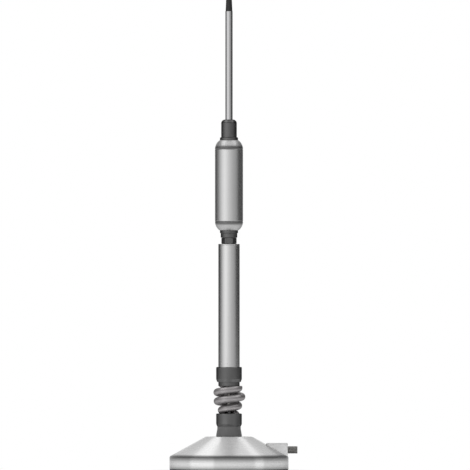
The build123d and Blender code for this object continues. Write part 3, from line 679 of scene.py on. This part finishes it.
# Insulating bush: a dark nylon moulding that flares out onto the crown. It keeps the live stud clear of
# the base, and the stack above stands on it.
def nylon(place):
    grain = noise(place, 900.0, 4.0)
    cloud = noise(place, 70.0, 3.0)
    return {
        "Base Color": between(cloud, grey(0.085), grey(0.125)),
        "Roughness": 0.42 + 0.12 * grain,
        "Normal": bump(grain, 0.02 * mm),
    }


bush_material = finish("nylon", nylon, Specular_IOR_Level=0.5)
bush_foot, bush_bottom, bush_top = extent("stud_bush")
bush_spigot = 7.0 * mm
bush_waist = 12.35 * mm
bush_foot_land = 1.6 * mm
bush_waist_land = 2.6 * mm
stud_hole = 4.81 * mm
bush = lathe(
    "bush",
    [
        (stud_hole, bush_bottom, 0.1 * mm),
        (bush_spigot, bush_bottom, 0.2 * mm),
        (bush_spigot, shell_top, 0.05 * mm),
        (bush_foot, shell_top, 0.2 * mm),
        (bush_foot, shell_top + bush_foot_land, 0.45 * mm),
        (bush_waist, bush_top - bush_waist_land, 1.2 * mm),
        (bush_waist, bush_top, 0.2 * mm),
        (stud_hole, bush_top, 0.1 * mm),
    ],
    bush_material,
    around=128,
)
stands_for(bush, "stud_bush")


# Lower collar: turned brass with a black nickel plate, screwed down on the stud. Its foot is bevelled and
# its spigot centres the spring.
collar_radius, collar_bottom, spigot_top = extent("lower_collar")
_, spring_bottom, spring_top = extent("barrel_spring")
collar_foot = 12.4 * mm
collar_bevel = 2.4 * mm
collar_edge = 0.6 * mm
low_spigot = 3.3 * mm
braid_hole = 1.52 * mm
braid_hole_depth = 5.0 * mm
stud_depth = 9.3 * mm


def turned_rings(place, scale):
    """Fine rings that a lathe leaves, as noise over radius and height alone."""
    _, _, z = axes(place)
    flat = z.node("ShaderNodeCombineXYZ", inputs={0: off_axis(place), 1: z, 2: 0.0})
    return noise(flat, scale, 2.0)


def black_nickel(place):
    rings = turned_rings(place, 3500.0)
    cloud = noise(place, 120.0, 4.0)
    _, _, z = axes(place)
    rub = noise(place, 700.0, 4.0).step(0.42, 0.62)
    at_rim = off_axis(place).step(collar_radius - 0.5 * mm, collar_radius - 0.1 * mm)
    near_top = wear(z, spring_bottom - 0.3 * mm, 0.8 * mm)
    worn = near_top * at_rim * rub
    return {
        "Base Color": between(worn * 0.5, between(cloud, grey(0.115), grey(0.15)), grey(0.35)),
        "Roughness": 0.26 + 0.12 * cloud + 0.05 * rings,
        "Normal": bump(rings, 0.01 * mm),
    }


collar_material = finish(
    "black_nickel",
    black_nickel,
    Metallic=1.0,
    Anisotropic=0.4,
    Anisotropic_Rotation=0.25,
    Specular_Tint=grey(0.2),
)
collar_below = lathe(
    "collar_below",
    [
        (0, collar_bottom + stud_depth, 0),
        (stud_hole, collar_bottom + stud_depth, 0.1 * mm),
        (stud_hole, collar_bottom, 0.1 * mm),
        (collar_foot, collar_bottom, 0.25 * mm),
        (collar_radius, collar_bottom + collar_bevel, 0.5 * mm),
        (collar_radius, spring_bottom - collar_edge, 0.15 * mm),
        (collar_radius - collar_edge, spring_bottom, 0.15 * mm),
        (low_spigot, spring_bottom, 0.15 * mm),
        (low_spigot, spigot_top, 0.3 * mm),
        (braid_hole, spigot_top, 0.1 * mm),
        (braid_hole, spigot_top - braid_hole_depth, 0.1 * mm),
        (0, spigot_top - braid_hole_depth, 0),
    ],
    collar_material,
    around=128,
)
stands_for(collar_below, "lower_collar")


# Barrel spring: dark tempered wire wound on a swelling helix, so that the antenna gives way to a branch
# and stands up again. Both ends are ground flat to sit on the collars.
wire_radius = 3.9 * mm
coil_pitch = 9.45 * mm
coil_turns = 3.587
coil_start_angle = math.radians(-44.3)
ground_depth = 6.4 * mm
belly_radius = 17.2 * mm
end_radius = 11.3 * mm
belly_share = 0.62
swell_share = 0.616
wire_end_round = 0.6 * mm
wire_along, wire_around = 320, 48
end_rows = 2
wheel_width = 12 * mm


def coil_line(turns):
    """The wire's centreline: its height rises by the pitch in each turn, and its distance from the axis
    swells as a squared cosine about the belly's height."""
    height = spring_bottom + wire_radius - ground_depth + coil_pitch * turns
    belly_height = spring_bottom + belly_share * (spring_top - spring_bottom)
    away = np.abs(height - belly_height) / (swell_share * (spring_top - spring_bottom))
    swell = np.cos(np.pi / 2 * np.minimum(away, 1)) ** 2
    radius = end_radius + (belly_radius - end_radius) * swell - wire_radius
    angle = coil_start_angle + 2 * np.pi * turns
    return np.stack([radius * np.cos(angle), radius * np.sin(angle), height], -1)


def tempered_wire(place):
    scale = noise(place, 350.0, 5.0)
    drawn = noise(place, 900.0, 3.0, (0.25, 0.25, 3.0))
    blued = noise(place, 45.0, 2.0)
    tone = between(scale * 0.6 + drawn * 0.4, (0.30, 0.288, 0.290, 1), (0.41, 0.392, 0.392, 1))
    return {
        "Base Color": between(blued * 0.3, tone, (0.27, 0.265, 0.285, 1)),
        "Roughness": 0.30 + 0.16 * scale,
        "Normal": bump(drawn, 0.02 * mm),
    }


wire_material = finish("tempered_wire", tempered_wire, Metallic=0.8, Specular_Tint=grey(0.3))
turns_at = np.linspace(0, coil_turns, wire_along)
line = coil_line(turns_at)
heading = np.gradient(line, axis=0)
heading /= np.linalg.norm(heading, axis=1, keepdims=True)
outwards = line * (1, 1, 0)
outwards -= heading * (outwards * heading).sum(1, keepdims=True)
outwards /= np.linalg.norm(outwards, axis=1, keepdims=True)
upwards = np.cross(heading, outwards)
round_end = np.radians(np.linspace(0, 90, 7))
end_size = np.concatenate([[0], wire_radius - wire_end_round * (1 - np.sin(round_end))])
end_reach = np.concatenate([[0], wire_end_round * (1 - np.cos(round_end))])
row_place = np.concatenate(
    [
        line[0] + end_reach[:, None] * heading[0],
        line[end_rows:-end_rows],
        line[-1] - end_reach[::-1, None] * heading[-1],
    ]
)
full_size = np.full(wire_along - 2 * end_rows, wire_radius)
row_size = np.concatenate([end_size, full_size, end_size[::-1]])
pad_rows = len(end_size)
row_turn = np.concatenate(
    [np.full(pad_rows, 0), np.arange(end_rows, wire_along - end_rows), np.full(pad_rows, -1)]
)
row_out, row_up = outwards[row_turn], upwards[row_turn]
wire_angle = round_angles(wire_around)
spring_rows = row_place[:, None] + row_size[:, None, None] * (
    np.cos(wire_angle)[:, None] * row_out[:, None] + np.sin(wire_angle)[:, None] * row_up[:, None]
)
spring = skin("spring", spring_rows, wire_material)


def cut_away(piece, tool):
    """The piece less a closed tool, which is gone afterwards."""
    cut = piece.modifiers.new("cut", "BOOLEAN")
    cut.operation, cut.object, cut.solver = "DIFFERENCE", tool, "EXACT"
    bpy.context.view_layer.update()
    left = piece.evaluated_get(bpy.context.evaluated_depsgraph_get())
    piece.data = bpy.data.meshes.new_from_object(left)
    piece.modifiers.clear()
    bpy.data.objects.remove(tool)
    piece.data.set_sharp_from_angle(angle=math.radians(35))


for flat, waste in ((spring_bottom, spring_bottom - wheel_width), (spring_top, spring_top + wheel_width)):
    wheel = [(0, flat), (2 * belly_radius, flat), (2 * belly_radius, waste), (0, waste)]
    cut_away(spring, turned("wheel", wheel, wire_material))
stands_for(spring, "barrel_spring", moves=False)
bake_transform(spring)


# Braid: tinned copper, woven from two sets of strands that cross, and soldered into both collars down
# the middle of the spring, so that the current doesn't have to follow the wire.
braid_radius, braid_bottom, braid_top = extent("spring_braid")
braid_relief = 0.18 * mm
braid_lay = 7.0 * mm
braid_along, braid_around = 180, 72
strand_pairs = 4


def cloudy(name, colours, roughness, relief, *cells, **constants):
    """Finish that follows one noise, whose scale, detail and stretch are given. As it goes from 0 to 1 the
    colour goes from the first to the second, the roughness grows by its second number, and the surface
    rises by the relief."""

    def surface(place):
        cloud = noise(place, *cells)
        return {
            "Base Color": between(cloud, *colours),
            "Roughness": roughness[0] + roughness[1] * cloud,
            "Normal": bump(cloud, relief),
        }

    return finish(name, surface, **constants)


tin, dull_tin = (0.70, 0.68, 0.65, 1), (0.52, 0.50, 0.47, 1)
braid_material = cloudy("tinned_copper", (tin, dull_tin), (0.3, 0.2), 0.02 * mm, 900.0, 4.0, Metallic=1.0)
braid_z = np.linspace(braid_bottom, braid_top, braid_along)[:, None]
braid_angle = round_angles(braid_around)
twist = 2 * np.pi * (braid_z - braid_bottom) / braid_lay
right_laid = np.abs(np.cos(strand_pairs * (braid_angle + twist)))
left_laid = np.abs(np.cos(strand_pairs * (braid_angle - twist)))
strands = np.maximum(right_laid, left_laid)
woven = braid_radius - braid_relief * (1 - strands)
woven_rows = np.stack(
    [woven * np.cos(braid_angle), woven * np.sin(braid_angle), braid_z + 0 * woven], -1
)
braid_rows = np.concatenate([woven_rows[:1] * (0, 0, 1), woven_rows, woven_rows[-1:] * (0, 0, 1)])
braid = skin("braid", braid_rows, braid_material)
stands_for(braid, "spring_braid", moves=False)
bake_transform(braid)


# Upper collar: turned and plated as the lower one. Its neck sits on the spring, the mast stands in its
# socket, and a grub screw in its back holds the mast.
_, high_spigot_bottom, upper_top = extent("upper_collar")
_, mast_bottom, mast_top = extent("mast_tube")
neck_radius = 11.2 * mm
neck_top = spring_top + 4.2 * mm
upper_foot = 12.4 * mm
upper_bevel = 3.0 * mm
high_spigot = 4.1 * mm
mast_hole = 11.25 * mm
grub_hole, grub_radius = 2.0 * mm, 1.95 * mm
drill_around = 48


def drilled(piece, inner, heights):
    """Bores a round hole at each height, from the piece's back in to a distance from the axis. Each
    drill is a cylinder along +Y: two poles, and two rings of its radius about its own axis."""
    ring_angle = round_angles(drill_around)
    depth = np.array([inner, inner, 2 * collar_radius, 2 * collar_radius])[:, None]
    size = grub_hole * np.array([0, 1, 1, 0])[:, None]
    for height in heights:
        rows = np.stack(
            [size * np.cos(ring_angle), depth + 0 * ring_angle, height + size * np.sin(ring_angle)], -1
        )
        cut_away(piece, skin("drill", rows, piece.active_material))


collar_above = lathe(
    "collar_above",
    [
        (0, high_spigot_bottom + braid_hole_depth, 0),
        (braid_hole, high_spigot_bottom + braid_hole_depth, 0.1 * mm),
        (braid_hole, high_spigot_bottom, 0.1 * mm),
        (high_spigot, high_spigot_bottom, 0.3 * mm),
        (high_spigot, spring_top, 0.1 * mm),
        (neck_radius, spring_top, 0.3 * mm),
        (neck_radius, neck_top, 0.25 * mm),
        (upper_foot, neck_top, 0.2 * mm),
        (collar_radius, neck_top + upper_bevel, 0.5 * mm),
        (collar_radius, upper_top - collar_edge, 0.15 * mm),
        (collar_radius - collar_edge, upper_top, 0.15 * mm),
        (mast_hole, upper_top, 0.12 * mm),
        (mast_hole, mast_bottom, 0.1 * mm),
        (0, mast_bottom, 0),
    ],
    collar_material,
    around=128,
)
collar_grub_low, collar_grub_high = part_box("collar_grub")
drilled(collar_above, mast_hole, [(collar_grub_low.z + collar_grub_high.z) / 2])
stands_for(collar_above, "upper_collar")


# Mast: a straight aluminium tube, drawn and then brushed along its length, with a satin lacquer. A plug
# pressed into its top covers the cut end with a thin lip.
mast_radius = 11.2 * mm
mast_wall = 1.6 * mm
scuffed_height = 12 * mm
press_gap = 0.02 * mm


def brushed_tube(place):
    _, _, z = axes(place)
    lines = noise(place, 1500.0, 3.0, (1, 1, 0.02))
    cloud = noise(place, 30.0, 3.0, (1, 1, 0.3))
    scuff = noise(place, 420.0, 5.0, (1, 1, 2)).step(0.58, 0.72)
    low = 1 - z.step(upper_top, upper_top + scuffed_height)
    return {
        "Base Color": between(lines * 0.6 + cloud * 0.4, grey(0.48), grey(0.56)),
        "Roughness": 0.16 + 0.05 * lines + 0.05 * cloud + 0.1 * scuff * (0.3 + 0.7 * low),
        "Normal": bump(lines, 0.008 * mm),
    }


mast_material = finish("brushed_tube", brushed_tube, Metallic=1.0, Specular_Tint=grey(0.12))
mast = lathe(
    "mast",
    [
        (mast_radius - mast_wall, mast_bottom, 0.15 * mm),
        (mast_radius, mast_bottom, 0.3 * mm),
        (mast_radius, mast_top, 0.2 * mm),
        (mast_radius - mast_wall, mast_top, 0.1 * mm),
    ],
    mast_material,
)
stands_for(mast, "mast_tube")
plug_radius, plug_bottom, plug_top = extent("mast_plug")
plug_body = mast_radius - mast_wall - press_gap
plug = lathe(
    "plug",
    [
        (stud_hole, plug_bottom, 0.1 * mm),
        (plug_body, plug_bottom, 0.4 * mm),
        (plug_body, mast_top, 0.05 * mm),
        (plug_radius, mast_top, 0.2 * mm),
        (plug_radius, plug_top, 0.45 * mm),
        (stud_hole, plug_top, 0.15 * mm),
    ],
    mast_material,
)
stands_for(plug, "mast_plug")


# Lock nut: a plain hexagon nut, its corners turned off at 30 degrees on both faces. It locks the coil's
# stud to the mast.
_, nut_bottom, nut_top = extent("lock_nut")
nut_flat = 7.15 * mm
nut_corner = nut_flat / math.cos(math.radians(30))
nut_round = 0.25 * mm
nut_face = 7.0 * mm
nut_around = 192
nut_angle = round_angles(nut_around)
off_flat = nut_angle % (np.pi / 3) - np.pi / 6
nut_side = np.minimum(nut_flat / np.cos(off_flat), nut_corner - nut_round)
nut_fall = (nut_side - nut_face) * math.tan(math.radians(30))
nut_outline = [
    (stud_hole, nut_bottom),
    (nut_face, nut_bottom),
    (nut_side, nut_bottom + nut_fall),
    (nut_side, nut_top - nut_fall),
    (nut_face, nut_top),
    (stud_hole, nut_top),
]
nut_rows = [
    np.stack([r * np.cos(nut_angle), r * np.sin(nut_angle), z + 0 * nut_angle], -1)
    for r, z in nut_outline
]
nut = skin("nut", np.stack(nut_rows), collar_material, closed=True)
nut.data.set_sharp_from_angle(angle=math.radians(20))
stands_for(nut, "lock_nut")


# Lower ferrule: turned and plated as the collars, with a flange under the coil and a shank that goes up
# inside the former.
flange_radius, ferrule_bottom, shank_top = extent("lower_ferrule")
_, cap_low, lower_cap_top = extent("coil_lower_cap")
cover_radius, cover_bottom, cover_top = extent("coil_cover")
ferrule_radius = 8.2 * mm
lower_ferrule_radius = 8.7 * mm
shank_radius = 5.5 * mm
flange_height = 3.2 * mm
flange_edge = 0.5 * mm
coil_stud_depth = 15.3 * mm
ferrule_below = lathe(
    "ferrule_below",
    [
        (0, ferrule_bottom + coil_stud_depth, 0),
        (stud_hole, ferrule_bottom + coil_stud_depth, 0.1 * mm),
        (stud_hole, ferrule_bottom, 0.1 * mm),
        (lower_ferrule_radius, ferrule_bottom, 0.45 * mm),
        (lower_ferrule_radius, cap_low - flange_height, 0.2 * mm),
        (flange_radius, cap_low - flange_height + flange_edge, 0.3 * mm),
        (flange_radius, cap_low, 0.25 * mm),
        (shank_radius, cap_low, 0.1 * mm),
        (shank_radius, shank_top, 0.3 * mm),
        (0, shank_top, 0),
    ],
    collar_material,
    around=128,
)
stands_for(ferrule_below, "lower_ferrule")


# Caps of the loading coil: smooth grey mouldings that dome in from the cover to the ferrules. Their
# spigots are glued into the ends of the cover, and near the fine joint with it their colour is painted
# shade.
cap_spigot = 13.23 * mm
cap_bore = 5.55 * mm
cap_foot = 10.0 * mm
joint_round = 0.4 * mm
joint_shade_band, joint_shade_edge = 3.3 * mm, 2.4 * mm
dome_start, dome_points = 0.06, 14


def moulded_cap(place):
    _, _, z = axes(place)
    cloud = noise(place, 80.0, 3.0)
    dimple = noise(place, 1200.0, 2.0)
    # Painted shade: the colour darkens in a band on both sides of the joint with the cover.
    painted_shade_below = z.band(cover_bottom - joint_shade_band, cover_bottom + joint_shade_band, joint_shade_edge)
    painted_shade_above = z.band(cover_top - joint_shade_band, cover_top + joint_shade_band, joint_shade_edge)
    painted_joint_shade = painted_shade_below + painted_shade_above
    return {
        "Base Color": between(painted_joint_shade, between(cloud, grey(0.44), grey(0.52)), grey(0.16)),
        "Roughness": 0.34 + 0.06 * cloud,
        "Normal": bump(dimple, 0.006 * mm),
    }


cap_material = finish(
    "moulded_cap", moulded_cap, Metallic=0.75, Coat_Weight=0.2, Coat_Roughness=0.3, Specular_Tint=grey(0.3)
)


def cap_corners(flange_end, cover_end, spigot_end):
    """The dome is an arc that leaves the cover straight along it: its centre is level with the cover's
    end, and its radius is (width^2 + height^2) / (2 width) of the part that it spans."""
    height, width = flange_end - cover_end, cover_radius - cap_foot
    bend = (width**2 + height**2) / (2 * width)
    t = np.linspace(dome_start, math.asin(abs(height) / bend), dome_points)
    dome_radius = cover_radius - bend + bend * np.cos(t)
    dome_height = cover_end + math.copysign(bend, height) * np.sin(t)
    dome = [(r, z, 0.0) for r, z in zip(dome_radius[:-1], dome_height[:-1])]
    return [
        (cover_radius - joint_round, cover_end, 0.05 * mm),
        *dome,
        (dome_radius[-1], dome_height[-1], 0.25 * mm),
        (cap_bore, flange_end, 0.1 * mm),
        (cap_bore, spigot_end, 0.1 * mm),
        (cap_spigot, spigot_end, 0.3 * mm),
        (cap_spigot, cover_end, 0.05 * mm),
    ]


cap_below = lathe("cap_below", cap_corners(cap_low, cover_bottom, lower_cap_top), cap_material)
stands_for(cap_below, "coil_lower_cap")
_, upper_cap_bottom, cap_high = extent("coil_upper_cap")
cap_above = lathe("cap_above", cap_corners(cap_high, cover_top, upper_cap_bottom), cap_material)
stands_for(cap_above, "coil_upper_cap")


# Cover of the loading coil: a straight tube with a satin silver finish, its ends rounded a little where
# they meet the caps.
cover_wall = 1.5 * mm


def satin_silver(place):
    _, _, z = axes(place)
    fleck = noise(place, 2400.0, 2.0)
    cloud = noise(place, 26.0, 3.0)
    scuff = noise(place, 260.0, 5.0, (1, 1, 0.4)).step(0.6, 0.75)
    rim = wear(z, cover_bottom, 1.5 * mm) + wear(z, cover_top, 1.5 * mm)
    return {
        "Base Color": between(fleck * 0.5 + cloud * 0.5, grey(0.44), grey(0.52)),
        "Roughness": 0.17 + 0.05 * fleck + 0.04 * scuff + 0.1 * rim,
        "Normal": bump(fleck, 0.006 * mm),
    }


cover_material = finish(
    "satin_silver",
    satin_silver,
    Metallic=0.9,
    Coat_Weight=0.25,
    Coat_Roughness=0.15,
    Specular_Tint=grey(0.12),
)
cover = lathe(
    "cover",
    [
        (cover_radius - cover_wall, cover_bottom, 0.1 * mm),
        (cover_radius, cover_bottom, joint_round),
        (cover_radius, cover_top, joint_round),
        (cover_radius - cover_wall, cover_top, 0.1 * mm),
    ],
    cover_material,
)
stands_for(cover, "coil_cover")


# Upper ferrule: turned and plated, its head rounded over at the top. The whip slides in its bore, and two
# grub screws in its back clamp it.
_, whip_shank_bottom, ferrule_top = extent("whip_ferrule")
whip_bore = 3.86 * mm
whip_bore_foot = whip_shank_bottom + 2.0 * mm
ferrule_round = 3.9 * mm
ferrule_above = lathe(
    "ferrule_above",
    [
        (0, whip_shank_bottom, 0),
        (shank_radius, whip_shank_bottom, 0.3 * mm),
        (shank_radius, cap_high, 0.1 * mm),
        (flange_radius, cap_high, 0.25 * mm),
        (flange_radius, cap_high + flange_height - flange_edge, 0.3 * mm),
        (ferrule_radius, cap_high + flange_height, 0.2 * mm),
        (ferrule_radius, ferrule_top, ferrule_round),
        (whip_bore, ferrule_top, 0.2 * mm),
        (whip_bore, whip_bore_foot, 0.1 * mm),
        (0, whip_bore_foot, 0),
    ],
    collar_material,
    steps=8,
    around=128,
)
grubs_low, grubs_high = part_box("whip_grubs")
drilled(ferrule_above, whip_bore, [grubs_low.z + grub_radius, grubs_high.z - grub_radius])
stands_for(ferrule_above, "whip_ferrule")


# Whip: a drawn stainless rod with a fine grain along it, chamfered at its foot and stepped at its top
# for the tip.
whip_radius, whip_bottom, whip_end = extent("whip")
_, tip_foot, tip_top = extent("whip_tip")
tip_spigot = 2.0 * mm
whip_chamfer = 0.4 * mm


def drawn_steel(place):
    lines = noise(place, 2200.0, 3.0, (1, 1, 0.02))
    cloud = noise(place, 40.0, 3.0, (1, 1, 0.4))
    return {
        "Base Color": between(lines * 0.5 + cloud * 0.5, (0.40, 0.40, 0.405, 1), (0.48, 0.48, 0.485, 1)),
        "Roughness": 0.15 + 0.07 * lines,
        "Normal": bump(lines, 0.006 * mm),
    }


whip_material = finish("drawn_steel", drawn_steel, Metallic=1.0, Specular_Tint=grey(0.2))
rod = lathe(
    "rod",
    [
        (0, whip_bottom, 0),
        (whip_radius - whip_chamfer, whip_bottom, 0.15 * mm),
        (whip_radius, whip_bottom + whip_chamfer, 0.15 * mm),
        (whip_radius, tip_foot, 0.15 * mm),
        (tip_spigot, tip_foot, 0.1 * mm),
        (tip_spigot, whip_end, 0.2 * mm),
        (0, whip_end, 0),
    ],
    whip_material,
    around=96,
)
stands_for(rod, "whip")


# Tip: a black moulding pushed over the end of the whip. It tapers a little and ends in a round nose, so
# that the whip can't hurt an eye.
tip_radius = 3.6 * mm
nose_radius = 2.7 * mm
tip_bore = tip_spigot + press_gap


def soft_black(place):
    grain = noise(place, 1100.0, 3.0)
    dust = noise(place, 120.0, 4.0).step(0.5, 0.8)
    return {
        "Base Color": between(dust * 0.6, grey(0.014), grey(0.032)),
        "Roughness": 0.42 + 0.16 * dust + 0.05 * grain,
        "Normal": bump(grain, 0.01 * mm),
    }


tip_material = finish("soft_black", soft_black, Specular_IOR_Level=0.4)
nose = np.radians(np.linspace(0, 86, 14))
tip = lathe(
    "tip",
    [
        (0, whip_end, 0),
        (tip_bore, whip_end, 0.05 * mm),
        (tip_bore, tip_foot, 0.05 * mm),
        (tip_radius, tip_foot, 0.25 * mm),
        *[
            (nose_radius * math.cos(t), tip_top - nose_radius * (1 - math.sin(t)), 0.0)
            for t in nose
        ],
        (0, tip_top, 0),
    ],
    tip_material,
    around=96,
)
stands_for(tip, "whip_tip")


# What stays as the CAD makes it: the screws that show in the backs of the collar and the ferrule, the
# sleeve and contact inside the jack, and everything closed up in the base, the mast and the coil.
inner_finishes = {
    "grub_steel": cloudy(
        "black_oxide", (grey(0.03), grey(0.07)), (0.36, 0.15), 0.01 * mm, 1600.0, 3.0, Metallic=0.8
    ),
    "plated_steel": cloudy(
        "zinc_plate", ((0.50, 0.50, 0.48, 1), (0.62, 0.62, 0.61, 1)), (0.28, 0.2), 0.01 * mm, 260.0, 4.0,
        Metallic=1.0,
    ),
    "ceramic_magnet": cloudy("ferrite", (grey(0.07), grey(0.11)), (0.6, 0.2), 0.04 * mm, 700.0, 5.0),
    "white_insulator": cloudy(
        "white_sleeve", ((0.80, 0.80, 0.76, 1), (0.88, 0.88, 0.85, 1)), (0.45, 0.1), 0.01 * mm, 600.0, 3.0
    ),
    "contact_brass": cloudy(
        "bare_brass", ((0.80, 0.64, 0.32, 1), (0.55, 0.42, 0.20, 1)), (0.22, 0.2), 0.01 * mm, 420.0, 4.0,
        Metallic=1.0,
    ),
    "lead_sleeve": cloudy(
        "red_sleeve", ((0.32, 0.04, 0.03, 1), (0.40, 0.06, 0.05, 1)), (0.4, 0.1), 0.01 * mm, 500.0, 3.0,
        Coat_Weight=0.2,
    ),
    "former_glass": cloudy(
        "glass_tube", ((0.66, 0.61, 0.44, 1), (0.74, 0.70, 0.55, 1)), (0.4, 0.15), 0.03 * mm,
        800.0, 3.0, (0.3, 0.3, 3.0), Coat_Weight=0.3,
    ),
    "winding_copper": cloudy(
        "enamelled_wire", ((0.50, 0.21, 0.09, 1), (0.62, 0.31, 0.15, 1)), (0.2, 0.1), 0.01 * mm,
        300.0, 3.0, Metallic=0.9, Coat_Weight=0.6,
    ),
}
for node, part in frame["nodes"].items():
    if not part.hide_render:
        part.data.materials.clear()
        part.data.materials.append(inner_finishes[node_slot[node]])
